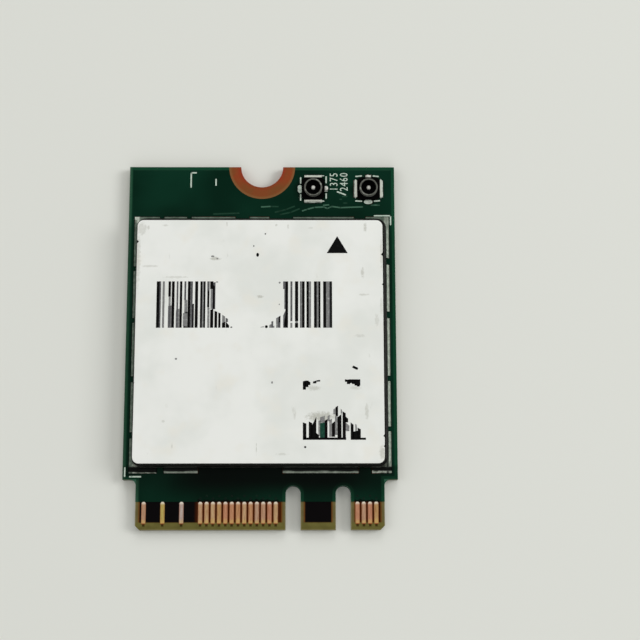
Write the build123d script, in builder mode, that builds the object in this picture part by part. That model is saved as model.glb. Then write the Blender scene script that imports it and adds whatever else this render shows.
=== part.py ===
from build123d import *
import os

# A radio card for a laptop's internal edge slot, lying with its components up.
# +Y is the end with the screw notch, -Y the end with the contact tongue.
# The origin is at the middle of the underside. All sizes are in millimetres.

# Board
board_width = 22.0
board_length = 30.0
board_thick = 0.80
mask_thick = 0.05
copper_thick = 0.035
tongue_width = 19.85
tongue_length = 4.0
shoulder_radius = 0.5
tongue_corner = 0.35
tip_bevel_long = 0.30
tip_bevel_deep = 0.12

# Screw notch, half a plated hole in the end of the board
notch_radius = 1.75
pad_radius = 2.75

# Edge contacts, counted from the right, odd ones on top and even ones below
contact_pitch = 0.5
contact_width = 0.35
contact_length = 1.76
contact_from_tip = 0.47
contact_corner = 0.11
middle_position = 38
contacts_top = [75, 69, 63] + list(range(57, 31, -2)) + [7, 5, 3, 1]
contacts_bottom = list(range(74, 31, -2)) + [22, 20, 18, 16] + [6, 4, 2]

# Key slots in the tongue
key_positions = (27.5, 11.5)
slot_width = 1.2
slot_depth = 3.5

# Shield can, drawn from one sheet, with a castellated skirt soldered to the board
can_width = 20.4
can_length = 20.35
can_height = 1.30
can_wall = 0.15
can_centre_y = 0.1
can_corner = 0.75
can_bend = 0.28
skirt_lift = 0.22

# Lands under the skirt, with gaps given as place along the side and width
land_beyond_x = 0.30
land_beyond_y = 0.42
land_inside = 0.30
left_gaps = ((6.2, 0.4), (1.85, 0.4), (-3.0, 0.5), (-7.55, 0.5))
right_gaps = ((6.8, 0.57), (2.3, 0.57), (-2.95, 0.45), (-7.05, 0.4))
top_gaps = ((-8.25, 0.4), (-6.0, 0.4), (-1.6, 1.2), (1.6, 2.0), (8.1, 1.0))
bottom_gaps = ((-8.0, 0.6), (8.4, 1.1))
bare_stretch = (-1.6, 6.8)
solder_climb = 0.26
solder_foot = 0.24
solder_hollow = 0.40

# Label on the can
label_width = 20.0
label_length = 19.9
label_thick = 0.09
label_corner = 0.5
label_shift_x = -0.1

# Antenna receptacles, each with its centre and the way its signal pad points
antenna_from_end = 1.88
antenna_spots = ((4.25, (1, 0, 0)), (8.85, (0, 1, 0)))
barrel_radius = 0.75
barrel_wall = 0.14
barrel_height = 0.60
groove_deep = 0.07
groove_low = 0.24
groove_high = 0.40
lip_chamfer = 0.04
foot_reach = 1.12
foot_width = 1.45
foot_thick = 0.10
insulator_long = 1.90
insulator_wide = 1.90
insulator_high = 0.20
insulator_corner = 0.25
window_width = 0.60
window_high = 0.14
pin_radius = 0.16
pin_high = 0.50
pin_base_radius = 0.28
pin_nose = 0.06
tail_width = 0.30
tail_thick = 0.08
tail_reach = 1.12
antenna_land_beyond = 0.08
spare_land_long = 0.34
spare_land_wide = 0.66
spare_land_at = 1.11

# Chips and small parts under the can
mask_clearance = 0.05
inner_room = 0.25
head_room = 0.15
radio_size = 9.0
radio_high = 0.85
front_end_size = 3.0
front_end_high = 0.75
front_end_step = 4.6
front_end_from_side = 1.1
lead_pitch = 0.5
lead_width = 0.25
lead_length = 0.40
chip_stand = 0.05
flash_long = 3.0
flash_wide = 2.0
flash_high = 0.55
flash_below_radio = 3.2
crystal_long = 2.5
crystal_wide = 2.0
crystal_base_high = 0.35
crystal_lid_high = 0.25
crystal_lid_margin = 0.15
inductor_long = 2.5
inductor_wide = 2.0
inductor_step = 2.8
diplexer_size = (2.0, 1.25, 0.60)
diplexer_step = 4.2
capacitor_size = (1.0, 0.5, 0.5)
resistor_size = (1.0, 0.5, 0.35)
small_part_step = 1.5
end_share = 0.22

# Heights worked out from the sizes above
laminate_low = mask_thick
laminate_high = board_thick - mask_thick
copper_low = laminate_low - copper_thick
board_top = board_thick
can_top = board_top + can_height
tip_y = -board_length / 2
notch_y = board_length / 2
shoulder_y = tip_y + tongue_length
contact_near_y = tip_y + contact_from_tip + contact_length
antenna_y = notch_y - antenna_from_end
chip_seat = Plane.XY.offset(board_top)
barrel_bore = barrel_radius - barrel_wall
groove_radius = barrel_radius - groove_deep
inner_x = can_width / 2 - can_wall - inner_room
inner_y = can_length / 2 - can_wall - inner_room

# Rows of parts under the can, from the contacts' side up, which share its free length
row_heights = (capacitor_size[1], radio_size, capacitor_size[1], front_end_size, diplexer_size[1])
row_gap = (2 * inner_y - sum(row_heights)) / (len(row_heights) + 1)
row_y = []
row_edge = can_centre_y - inner_y
for row_height in row_heights:
    row_y.append(row_edge + row_gap + row_height / 2)
    row_edge += row_gap + row_height

os.makedirs("parts", exist_ok=True)


def save(part, name):
    """Name a finished piece and write it to its own file."""
    part.label = name
    export_step(part, f"parts/{name}.step")


def position_x(number):
    """Place across the board of a contact position, which may be a half number."""
    return (middle_position - number) * contact_pitch / 2


# Outline of the board, seen from above
with BuildSketch() as outline:
    with Locations((0, (shoulder_y + notch_y) / 2)):
        Rectangle(board_width, board_length - tongue_length)
    with Locations((0, tip_y + tongue_length / 2)):
        Rectangle(tongue_width, tongue_length)
    shoulder_corners = outline.vertices().group_by(Axis.Y)[1].sort_by(Axis.X)[1:3]
    fillet(shoulder_corners, shoulder_radius)
    chamfer(outline.vertices().group_by(Axis.Y)[0], tongue_corner)
    for key in key_positions:
        slot_end = slot_depth - slot_width / 2
        with Locations((position_x(key), tip_y + slot_end / 2)):
            Rectangle(slot_width, slot_end, mode=Mode.SUBTRACT)
        with Locations((position_x(key), tip_y + slot_end)):
            Circle(slot_width / 2, mode=Mode.SUBTRACT)

# The board's laminate, bevelled at its leading edge, with the hole for the plated notch
with BuildPart() as circuit_board:
    with BuildSketch(Plane.XY.offset(laminate_low)):
        add(outline.sketch)
        with Locations((0, notch_y)):
            Circle(notch_radius + copper_thick, mode=Mode.SUBTRACT)
    extrude(amount=laminate_high - laminate_low)
    for low_z, high_z in ((laminate_low, tip_bevel_deep), (laminate_high, -tip_bevel_deep)):
        with BuildSketch(Plane.YZ.offset(-board_width / 2)):
            with BuildLine():
                Polyline(
                    (tip_y, low_z),
                    (tip_y, low_z + high_z),
                    (tip_y + tip_bevel_long, low_z),
                    close=True,
                )
            make_face()
        extrude(amount=board_width, mode=Mode.SUBTRACT)
save(circuit_board.part, "circuit_board")

# Copper round the notch: a pad on each side, joined by the plated wall of the hole
with BuildPart() as mounting_ring:
    with BuildSketch(Plane.XZ.offset(-notch_y)):
        with BuildLine():
            Polyline(
                (notch_radius, copper_low),
                (pad_radius, copper_low),
                (pad_radius, laminate_low),
                (notch_radius + copper_thick, laminate_low),
                (notch_radius + copper_thick, laminate_high),
                (pad_radius, laminate_high),
                (pad_radius, laminate_high + copper_thick),
                (notch_radius, laminate_high + copper_thick),
                close=True,
            )
        make_face()
    revolve(axis=Axis((0, notch_y, 0), (0, 0, 1)))
    split(bisect_by=Plane.XZ.offset(-notch_y), keep=Keep.TOP)
save(mounting_ring.part, "mounting_ring")


def contact_row(numbers, low_z):
    """Gold contacts of one side of the tongue, lying on the laminate, with cut corners at their inner ends."""
    with BuildPart() as row:
        with BuildSketch(Plane.XY.offset(low_z)) as plan:
            spots = [(position_x(n), contact_near_y - contact_length / 2) for n in numbers]
            with Locations(*spots):
                Rectangle(contact_width, contact_length)
            chamfer(plan.vertices().group_by(Axis.Y)[-1], contact_corner)
        extrude(amount=copper_thick)
    return row.part


save(contact_row(contacts_top, laminate_high), "edge_contacts_top")
save(contact_row(contacts_bottom, copper_low), "edge_contacts_bottom")


def cut_side_gaps(reach, trim=0.0):
    """Cut the gaps between lands out of the sketch in hand, seen from above."""
    sides = ((-can_width / 2, left_gaps), (can_width / 2, right_gaps))
    for x, gaps in sides:
        for y, width in gaps:
            with Locations((x, can_centre_y + y)):
                Rectangle(reach, width - trim, mode=Mode.SUBTRACT)
    ends = ((can_length / 2, top_gaps), (-can_length / 2, bottom_gaps))
    for y, gaps in ends:
        for x, width in gaps:
            with Locations((x, can_centre_y + y)):
                Rectangle(width - trim, reach, mode=Mode.SUBTRACT)


def cut_bare_stretch(reach, trim=0.0):
    """Cut out the stretch of the front side where the skirt has no land under it."""
    x, width = bare_stretch
    with Locations((x, can_centre_y - can_length / 2)):
        Rectangle(width - trim, reach, mode=Mode.SUBTRACT)


gap_reach = 4 * max(land_beyond_x, land_beyond_y, land_inside)

# Where the can's skirt comes down to the board, seen from above
with BuildSketch() as skirt_plan:
    with Locations((0, can_centre_y)):
        Rectangle(can_width + 2 * land_beyond_x, can_length + 2 * land_beyond_y)
        Rectangle(can_width - 2 * land_inside, can_length - 2 * land_inside, mode=Mode.SUBTRACT)
    cut_side_gaps(gap_reach)

# Lands that the skirt is soldered to
with BuildSketch() as shield_land_plan:
    add(skirt_plan.sketch)
    cut_bare_stretch(gap_reach)

with BuildPart() as shield_lands:
    with BuildSketch(Plane.XY.offset(laminate_high)):
        add(shield_land_plan.sketch)
    extrude(amount=mask_thick)
save(shield_lands.part, "shield_lands")

# The can: a drawn cover with bent edges, whose skirt is cut away over each gap
with BuildPart() as shield_can:
    with BuildSketch(Plane.XY.offset(board_top)):
        with Locations((0, can_centre_y)):
            RectangleRounded(can_width, can_length, can_corner)
    extrude(amount=can_height)
    fillet(shield_can.faces().sort_by(Axis.Z)[-1].edges(), can_bend)
    offset(amount=-can_wall, openings=shield_can.faces().sort_by(Axis.Z)[0])
    with BuildSketch(Plane.XY.offset(board_top)):
        with Locations((0, can_centre_y)):
            Rectangle(can_width + can_wall, can_length + can_wall)
            Rectangle(
                can_width - 3 * can_wall,
                can_length - 3 * can_wall,
                mode=Mode.SUBTRACT,
            )
        add(skirt_plan.sketch, mode=Mode.SUBTRACT)
    extrude(amount=skirt_lift, mode=Mode.SUBTRACT)
save(shield_can.part, "shield_can")

# Solder that climbs the skirt from each land, hollow between foot and top
with BuildPart() as shield_solder:
    wall_y = can_centre_y - can_length / 2
    with BuildLine() as half_skirt:
        FilletPolyline(
            (0, wall_y, board_top),
            (can_width / 2, wall_y, board_top),
            (can_width / 2, wall_y + can_length, board_top),
            (0, wall_y + can_length, board_top),
            radius=can_corner,
        )
    with BuildSketch(Plane(origin=(0, wall_y, board_top), x_dir=(0, -1, 0), z_dir=(-1, 0, 0))):
        with BuildLine():
            Polyline(
                (0, 0),
                (solder_foot, 0),
                (solder_foot * solder_hollow, solder_climb * solder_hollow),
                (0, solder_climb),
                close=True,
            )
        make_face()
    sweep(path=half_skirt.wires()[0])
    mirror(about=Plane.YZ)
    with BuildSketch(Plane.XY.offset(board_top)):
        with Locations((0, can_centre_y)):
            Rectangle(can_width + 4, can_length + 4)
        add(shield_land_plan.sketch, mode=Mode.SUBTRACT)
    extrude(amount=solder_climb, mode=Mode.SUBTRACT)
save(shield_solder.part, "shield_solder")

# Paper label stuck on the can
with BuildPart() as label:
    with BuildSketch(Plane.XY.offset(can_top)):
        with Locations((label_shift_x, can_centre_y)):
            RectangleRounded(label_width, label_length, label_corner)
    extrude(amount=label_thick)
save(label.part, "label")


def antenna_land_rows(margin):
    """Draw a receptacle's lands in the sketch in hand, larger by a margin all round."""
    land_inner = barrel_radius
    land_outer = foot_reach + antenna_land_beyond
    side_long = land_outer - land_inner
    with Locations((0, land_inner + side_long / 2), (0, -land_inner - side_long / 2)):
        Rectangle(foot_width + 2 * margin, side_long + 2 * margin)
    with Locations((land_inner + side_long / 2, 0)):
        Rectangle(side_long + 2 * margin, tail_width + 2 * antenna_land_beyond + 2 * margin)
    with Locations((-spare_land_at, 0)):
        SlotOverall(
            spare_land_wide + 2 * margin,
            spare_land_long + 2 * margin,
            rotation=90,
        )


def antenna_shell(seat, upright, axis):
    """Grounded shell: a grooved barrel on two feet, with a window for the tail at each end."""
    with BuildPart() as shell:
        with BuildSketch(upright):
            with BuildLine():
                Polyline(
                    (barrel_bore, 0),
                    (barrel_radius, 0),
                    (barrel_radius, groove_low),
                    (groove_radius, groove_low + barrel_radius - groove_radius),
                    (groove_radius, groove_high),
                    (barrel_radius, groove_high + barrel_radius - groove_radius),
                    (barrel_radius, barrel_height),
                    (barrel_bore, barrel_height),
                    close=True,
                )
            make_face()
        revolve(axis=axis)
        chamfer(shell.edges().group_by(Axis.Z)[-1], lip_chamfer)
        with BuildSketch(seat):
            Rectangle(foot_width, 2 * foot_reach)
            Circle((barrel_bore + barrel_radius) / 2, mode=Mode.SUBTRACT)
        extrude(amount=foot_thick)
        with BuildSketch(seat):
            Rectangle(2 * foot_reach, window_width)
        extrude(amount=window_high, mode=Mode.SUBTRACT)
    return shell.part


def antenna_pin(seat):
    """Signal pin: a pointed post on an eight-sided base, with a flat tail out to its land."""
    with BuildPart() as pin:
        with BuildSketch(seat):
            RegularPolygon(pin_base_radius, 8)
            with Locations((tail_reach / 2, 0)):
                Rectangle(tail_reach, tail_width)
        extrude(amount=tail_thick)
        with BuildSketch(seat.offset(tail_thick)):
            Circle(pin_radius)
        extrude(amount=pin_high - tail_thick)
        chamfer(pin.edges().group_by(Axis.Z)[-1], pin_nose)
    return pin.part


def antenna_insulator(seat, shell, pin):
    """Moulded base that holds the shell and the pin apart, cast round both."""
    with BuildPart() as base:
        with BuildSketch(seat):
            plan = Rectangle(insulator_long, insulator_wide)
            chamfer(plan.vertices(), insulator_corner)
        extrude(amount=insulator_high)
        add(shell, mode=Mode.SUBTRACT)
        add(pin, mode=Mode.SUBTRACT)
    return base.part


antenna_seats = [
    Plane(origin=(x, antenna_y, board_top), x_dir=direction)
    for x, direction in antenna_spots
]

for count, seat in enumerate(antenna_seats, start=1):
    upright = Plane(origin=seat.origin, x_dir=seat.x_dir, z_dir=-seat.y_dir)
    shell_part = antenna_shell(seat, upright, Axis(seat.origin, (0, 0, 1)))
    pin_part = antenna_pin(seat)
    insulator_part = antenna_insulator(seat, shell_part, pin_part)
    save(shell_part, f"antenna_{count}_shell")
    save(pin_part, f"antenna_{count}_pin")
    save(insulator_part, f"antenna_{count}_insulator")

with BuildPart() as antenna_lands:
    for seat in antenna_seats:
        with BuildSketch(seat.offset(-mask_thick)):
            antenna_land_rows(0)
        extrude(amount=mask_thick)
save(antenna_lands.part, "antenna_lands")


def lead_frame(size_x, size_y, count_x, count_y):
    """Draw the leads of a flat chip, count_x along each long side, count_y along each end."""
    if count_x:
        with GridLocations(lead_pitch, size_y - lead_length, count_x, 2):
            Rectangle(lead_width, lead_length)
    if count_y:
        with GridLocations(size_x - lead_length, lead_pitch, 2, count_y):
            Rectangle(lead_length, lead_width)


def lead_openings(size_x, size_y, count_x, count_y):
    """Draw one opening in the mask round each row of a flat chip's leads."""
    long = lead_length + 2 * mask_clearance
    row = lead_width + 2 * mask_clearance
    if count_x:
        with GridLocations(lead_pitch, size_y - lead_length, 1, 2):
            Rectangle((count_x - 1) * lead_pitch + row, long)
    if count_y:
        with GridLocations(size_x - lead_length, lead_pitch, 2, 1):
            Rectangle(long, (count_y - 1) * lead_pitch + row)


def row_of(start_x, y, count, step):
    """Centres of a row of like parts."""
    return [(start_x + i * step, y) for i in range(count)]


radio_leads = int((radio_size - 2 * lead_length) / lead_pitch)
front_end_leads = int((front_end_size - 2 * lead_length) / lead_pitch)
flash_leads = int((flash_long - lead_length) / lead_pitch) - 1

# The radio chip stands midway between a column on each side
radio_spot = ((flash_long - inductor_long) / 2, row_y[1])
crystal_spot = (crystal_long / 2 - inner_x, row_y[1])
flash_spot = (flash_long / 2 - inner_x, row_y[1] - flash_below_radio)
inductor_x = inner_x - inductor_long / 2
inductor_spots = [(inductor_x, row_y[1]), (inductor_x, row_y[1] - inductor_step)]
inductor_size = (inductor_long, inductor_wide, can_height - can_wall - head_room)
front_end_x = inner_x - front_end_from_side - front_end_size / 2 - front_end_step
front_end_spots = row_of(front_end_x, row_y[3], 2, front_end_step)
diplexer_x = inner_x - diplexer_size[0] / 2 - diplexer_step
diplexer_spots = row_of(diplexer_x, row_y[4], 2, diplexer_step)
capacitor_x = radio_spot[0] - 2 * small_part_step
capacitor_spots = row_of(capacitor_x, row_y[0], 5, small_part_step)
capacitor_spots += row_of(capacitor_x, row_y[2], 5, small_part_step)
resistor_spots = row_of(resistor_size[0] - inner_x, row_y[4], 4, small_part_step)
resistor_spots += row_of(resistor_size[0] - inner_x, row_y[3], 2, small_part_step)

flat_chips = (
    ([radio_spot], radio_size, radio_size, radio_leads, radio_leads),
    (front_end_spots, front_end_size, front_end_size, front_end_leads, front_end_leads),
    ([flash_spot], flash_long, flash_wide, flash_leads, 0),
)
two_ended = (
    (inductor_spots, inductor_size),
    (diplexer_spots, diplexer_size),
    (capacitor_spots, capacitor_size),
    (resistor_spots, resistor_size),
)


def end_pads(spots, size):
    """Draw the two end lands of each small part."""
    end_long = size[0] * end_share
    for x, y in spots:
        with Locations((x, y)):
            with GridLocations(size[0] - end_long, 1, 2, 1):
                Rectangle(end_long, size[1])


def thermal_pads(margin):
    """Draw the land under the middle of each square chip."""
    for spots, size_x, _, _, count_y in flat_chips:
        if count_y:
            with Locations(*spots):
                inner = size_x - 4 * lead_length
                Rectangle(inner + 2 * margin, inner + 2 * margin)


def crystal_pads(margin):
    """Draw the four corner lands of the crystal."""
    with Locations(crystal_spot):
        with GridLocations(crystal_long * 0.6, crystal_wide * 0.6, 2, 2):
            Rectangle(crystal_long * 0.35 + 2 * margin, crystal_wide * 0.35 + 2 * margin)


# Lands of the small parts under the can, and of the middle of each chip
with BuildPart() as component_lands:
    with BuildSketch(Plane.XY.offset(laminate_high)):
        thermal_pads(0)
        crystal_pads(0)
        for spots, size in two_ended:
            end_pads(spots, size)
    extrude(amount=mask_thick)
save(component_lands.part, "component_lands")

# Green mask, which stops short of the contacts and is open over every land
with BuildSketch() as mask_outline:
    add(outline.sketch)
    with Locations((0, (contact_near_y + notch_y) / 2)):
        Rectangle(board_width, notch_y - contact_near_y, mode=Mode.INTERSECT)
    with Locations((0, notch_y)):
        Circle(pad_radius, mode=Mode.SUBTRACT)

with BuildPart() as solder_mask_bottom:
    with BuildSketch():
        add(mask_outline.sketch)
    extrude(amount=mask_thick)
save(solder_mask_bottom.part, "solder_mask_bottom")

with BuildPart() as solder_mask_top:
    with BuildSketch(Plane.XY.offset(laminate_high)):
        add(mask_outline.sketch)
    extrude(amount=mask_thick)
    with BuildSketch(Plane.XY.offset(laminate_high)):
        with Locations((0, can_centre_y)):
            Rectangle(
                can_width + 2 * land_beyond_x + 2 * mask_clearance,
                can_length + 2 * land_beyond_y + 2 * mask_clearance,
            )
            Rectangle(
                can_width - 2 * land_inside - 2 * mask_clearance,
                can_length - 2 * land_inside - 2 * mask_clearance,
                mode=Mode.SUBTRACT,
            )
        cut_side_gaps(gap_reach, 2 * mask_clearance)
        cut_bare_stretch(gap_reach, 2 * mask_clearance)
    extrude(amount=mask_thick, mode=Mode.SUBTRACT)
    for seat in antenna_seats:
        with BuildSketch(seat.offset(-mask_thick)):
            antenna_land_rows(mask_clearance)
        extrude(amount=mask_thick, mode=Mode.SUBTRACT)
    with BuildSketch(Plane.XY.offset(laminate_high)):
        for spots, size_x, size_y, count_x, count_y in flat_chips:
            with Locations(*spots):
                lead_openings(size_x, size_y, count_x, count_y)
        thermal_pads(mask_clearance)
        crystal_pads(mask_clearance)
        for spots, size in two_ended:
            with Locations(*spots):
                Rectangle(size[0] + 2 * mask_clearance, size[1] + 2 * mask_clearance)
    extrude(amount=mask_thick, mode=Mode.SUBTRACT)
save(solder_mask_top.part, "solder_mask_top")


def flat_chip(spots, size_x, size_y, high, count_x, count_y):
    """Moulded chip with a dimple at its first lead, standing on leads soldered to the board."""
    with BuildPart() as leads:
        with BuildSketch(chip_seat.offset(-mask_thick)):
            with Locations(*spots):
                lead_frame(size_x, size_y, count_x, count_y)
        extrude(amount=mask_thick + chip_stand)
    with BuildPart() as body:
        with BuildSketch(chip_seat.offset(chip_stand)):
            with Locations(*spots):
                Rectangle(size_x, size_y)
        extrude(amount=high - chip_stand)
        dimple = size_y * 0.05
        corner_x = size_x / 2 - 3 * dimple
        corner_y = size_y / 2 - 3 * dimple
        with BuildSketch(chip_seat.offset(high)):
            with Locations(*[(x - corner_x, y + corner_y) for x, y in spots]):
                RegularPolygon(dimple, 8)
        extrude(amount=-dimple / 4, mode=Mode.SUBTRACT)
    return body.part, leads.part


chip_kinds = (
    ("radio_chip", flat_chips[0], radio_high),
    ("front_end_chip", flat_chips[1], front_end_high),
    ("flash_chip", flat_chips[2], flash_high),
)
for name, (spots, size_x, size_y, count_x, count_y), high in chip_kinds:
    body_part, leads_part = flat_chip(spots, size_x, size_y, high, count_x, count_y)
    save(body_part, f"{name}_bodies" if len(spots) > 1 else f"{name}_body")
    save(leads_part, f"{name}_leads")

# Crystal: a ceramic tray closed by a metal lid
with BuildPart() as crystal_base:
    with BuildSketch(chip_seat):
        with Locations(crystal_spot):
            Rectangle(crystal_long, crystal_wide)
    extrude(amount=crystal_base_high)
save(crystal_base.part, "crystal_base")

with BuildPart() as crystal_lid:
    with BuildSketch(chip_seat.offset(crystal_base_high)):
        with Locations(crystal_spot):
            lid_plan = Rectangle(
                crystal_long - 2 * crystal_lid_margin,
                crystal_wide - 2 * crystal_lid_margin,
            )
        chamfer(lid_plan.vertices(), crystal_lid_margin)
    extrude(amount=crystal_lid_high)
save(crystal_lid.part, "crystal_lid")


def two_ended_parts(spots, size):
    """Small block parts with a metal cap on each end."""
    long, wide, high = size
    cap = long * end_share
    with BuildPart() as bodies:
        with BuildSketch(chip_seat):
            with Locations(*spots):
                Rectangle(long - 2 * cap, wide)
        extrude(amount=high)
    with BuildPart() as ends:
        with BuildSketch(chip_seat):
            for x, y in spots:
                with Locations((x, y)):
                    with GridLocations(long - cap, 1, 2, 1):
                        Rectangle(cap, wide)
        extrude(amount=high)
    return bodies.part, ends.part


block_names = ("power_inductor", "diplexer", "capacitor", "resistor")
for name, (spots, size) in zip(block_names, two_ended):
    bodies_part, ends_part = two_ended_parts(spots, size)
    save(bodies_part, f"{name}_bodies")
    save(ends_part, f"{name}_ends")
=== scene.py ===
"""Looks of a laptop radio card: finishes, white board marks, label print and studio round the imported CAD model.

Lengths in the classes are millimetres in the card's own frame: X across the board, Y towards the screw notch,
Z up from the underside. A piece is scaled to metres once, when its mesh is finished.
"""

from __future__ import annotations

import logging
import math
from dataclasses import dataclass
from enum import Enum
from functools import reduce
from typing import Sequence, Union

import bmesh
import bpy
from mathutils import Matrix, Vector


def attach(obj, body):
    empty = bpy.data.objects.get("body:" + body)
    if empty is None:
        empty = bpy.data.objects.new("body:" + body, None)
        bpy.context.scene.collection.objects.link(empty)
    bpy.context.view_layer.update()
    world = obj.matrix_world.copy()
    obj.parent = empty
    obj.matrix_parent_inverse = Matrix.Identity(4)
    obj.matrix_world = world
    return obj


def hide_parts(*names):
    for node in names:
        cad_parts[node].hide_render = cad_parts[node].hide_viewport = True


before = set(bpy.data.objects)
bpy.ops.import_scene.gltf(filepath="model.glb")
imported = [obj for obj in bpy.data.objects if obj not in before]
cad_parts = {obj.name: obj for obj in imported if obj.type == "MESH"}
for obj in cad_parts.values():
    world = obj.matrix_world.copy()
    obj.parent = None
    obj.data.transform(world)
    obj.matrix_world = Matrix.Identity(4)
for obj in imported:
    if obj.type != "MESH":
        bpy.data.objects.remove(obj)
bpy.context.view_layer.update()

Colour = tuple[int, int, int]
Pair = tuple[float, float]
Triple = tuple[float, float, float]
Run = tuple[Pair, ...]
Oval = tuple[float, float, float, float]
Bar = tuple[float, float, float, float, float]
Socket = bpy.types.NodeSocket
Amount = Union[Socket, float]
Shade = Union[Socket, Colour]

METRES = 0.001
BODY = "root"
FILM_TOP = 0.80  # the height of the board's green film
FLAT_LOW = FILM_TOP - 0.004  # where flat work on the film starts, a little inside it
log = logging.getLogger("radio_card")


def linear(colour: Colour) -> tuple[float, float, float, float]:
    """Turns a colour as seen on a screen into the linear values that a shader takes.

    Args:
        colour: Red, green and blue from 0 to 255.

    Returns:
        Linear red, green, blue and an alpha of 1.
    """
    parts = [channel / 255 for channel in colour]
    red, green, blue = [part / 12.92 if part <= 0.04045 else ((part + 0.055) / 1.055) ** 2.4 for part in parts]
    return (red, green, blue, 1.0)


class Slot(Enum):
    """The record's material slots, named with each new piece."""

    MASK = "green_mask"
    SOLDER = "solder"
    LABEL = "label_paper"


class Recipe:
    """A material's node tree, written one step at a time, with all places in millimetres."""

    def __init__(self, name: str) -> None:
        """Starts a material with its shader and its coordinates.

        Args:
            name: The material's name.
        """
        self.material = bpy.data.materials.new(name)
        self.material.use_nodes = True
        self.tree = self.material.node_tree
        self.shader = self.tree.nodes["Principled BSDF"]
        coordinates = self.tree.nodes.new("ShaderNodeTexCoord")
        mapping = self.tree.nodes.new("ShaderNodeMapping")
        mapping.inputs["Scale"].default_value = (1 / METRES,) * 3
        self.tree.links.new(coordinates.outputs["Object"], mapping.inputs["Vector"])
        self.place = mapping.outputs["Vector"]
        split = self.tree.nodes.new("ShaderNodeSeparateXYZ")
        self.tree.links.new(self.place, split.inputs["Vector"])
        self.x, self.y, self.z = split.outputs[0], split.outputs[1], split.outputs[2]

    def put(self, value: Amount, socket: Socket) -> None:
        """Links a socket to another, or sets its value."""
        if isinstance(value, bpy.types.NodeSocket):
            self.tree.links.new(value, socket)
        else:
            socket.default_value = value

    def sum(self, operation: str, first: Amount, second: Amount = 0.0, third: Amount = 0.0) -> Socket:
        """Adds one Math node.

        Args:
            operation: The node's operation, such as ADD or ABSOLUTE.
            first: Its first value.
            second: Its second value.
            third: Its third value.

        Returns:
            The result.
        """
        node = self.tree.nodes.new("ShaderNodeMath")
        node.operation = operation
        for value, socket in zip((first, second, third), node.inputs):
            self.put(value, socket)
        return node.outputs[0]

    def minus(self, first: Amount, second: Amount) -> Socket:
        """The first value less the second."""
        return self.sum("SUBTRACT", first, second)

    def times(self, first: Amount, second: Amount) -> Socket:
        """The first value times the second."""
        return self.sum("MULTIPLY", first, second)

    def least(self, *values: Amount) -> Socket:
        """The smallest of several values."""
        return reduce(lambda found, value: self.sum("MINIMUM", found, value), values)

    def most(self, *values: Amount) -> Socket:
        """The largest of several values."""
        return reduce(lambda found, value: self.sum("MAXIMUM", found, value), values)

    def square(self, x: Amount, y: Amount) -> Socket:
        """The square of the length of a step along X and Y."""
        return self.sum("MULTIPLY_ADD", x, x, self.times(y, y))

    def distance(self, centre: Pair) -> Socket:
        """How far a point lies from an upright axis, in millimetres."""
        return self.sum("SQRT", self.square(self.minus(self.x, centre[0]), self.minus(self.y, centre[1])))

    def ramp(self, value: Socket, low: float, high: float, start: float = 0.0, end: float = 1.0) -> Socket:
        """Runs smoothly from one number to another while a value goes from low to high.

        Args:
            value: The value that drives it.
            low: Where the run starts.
            high: Where it ends.
            start: The number before the run.
            end: The number after it.

        Returns:
            The running number.
        """
        node = self.tree.nodes.new("ShaderNodeMapRange")
        node.interpolation_type = "SMOOTHSTEP"
        for name, number in zip(("From Min", "From Max", "To Min", "To Max"), (low, high, start, end)):
            node.inputs[name].default_value = number
        self.put(value, node.inputs["Value"])
        return node.outputs["Result"]

    def inside(self, value: Socket, low: float, high: float, soft: float) -> Socket:
        """One between low and high, and nothing outside, with soft ends."""
        return self.least(self.ramp(value, low - soft, low + soft), self.ramp(value, high + soft, high - soft))

    def within(self, spans: Run, soft: float, spare: float = 0.0) -> Socket:
        """One where X lies in any of some spans, each longer by the spare at both ends."""
        return self.most(*[self.inside(self.x, low - spare, high + spare, soft) for low, high in spans])

    def gloss(self, noise: Socket, low: float, high: float) -> Socket:
        """A roughness that runs from low to high with a noise."""
        return self.ramp(noise, 0.3, 0.7, low, high)

    def cloud(
        self, per_mm: float, detail: float = 2.0, stretch: Sequence[float] = (1, 1, 1), roughness: float = 0.5
    ) -> Socket:
        """Adds soft noise.

        Args:
            per_mm: How many lumps a millimetre holds.
            detail: How many finer layers it has.
            stretch: How much the pattern is packed along each axis.
            roughness: How strong the finer layers are.

        Returns:
            The noise, about 0.5 in the middle.
        """
        node = self.tree.nodes.new("ShaderNodeTexNoise")
        node.inputs["Scale"].default_value = per_mm
        node.inputs["Detail"].default_value = detail
        node.inputs["Roughness"].default_value = roughness
        place = self.place
        if tuple(stretch) != (1, 1, 1):
            mapping = self.tree.nodes.new("ShaderNodeMapping")
            mapping.inputs["Scale"].default_value = stretch
            self.tree.links.new(place, mapping.inputs["Vector"])
            place = mapping.outputs["Vector"]
        self.tree.links.new(place, node.inputs["Vector"])
        return node.outputs[0]

    def chance(self, value: Socket) -> Socket:
        """A random number for each whole number."""
        node = self.tree.nodes.new("ShaderNodeTexWhiteNoise")
        node.noise_dimensions = "1D"
        self.tree.links.new(value, node.inputs["W"])
        return node.outputs["Value"]

    def shades(self, value: Socket, stops: Sequence[tuple[float, Colour]]) -> Socket:
        """Turns a value into a colour.

        Args:
            value: The value, from 0 to 1.
            stops: Where each colour stands, in rising order.

        Returns:
            The colour.
        """
        node = self.tree.nodes.new("ShaderNodeValToRGB")
        elements = node.color_ramp.elements
        while len(elements) < len(stops):
            elements.new(0.5)
        for element, (place, colour) in zip(elements, stops):
            element.position = place
            element.color = linear(colour)
        self.tree.links.new(value, node.inputs["Fac"])
        return node.outputs["Color"]

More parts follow.
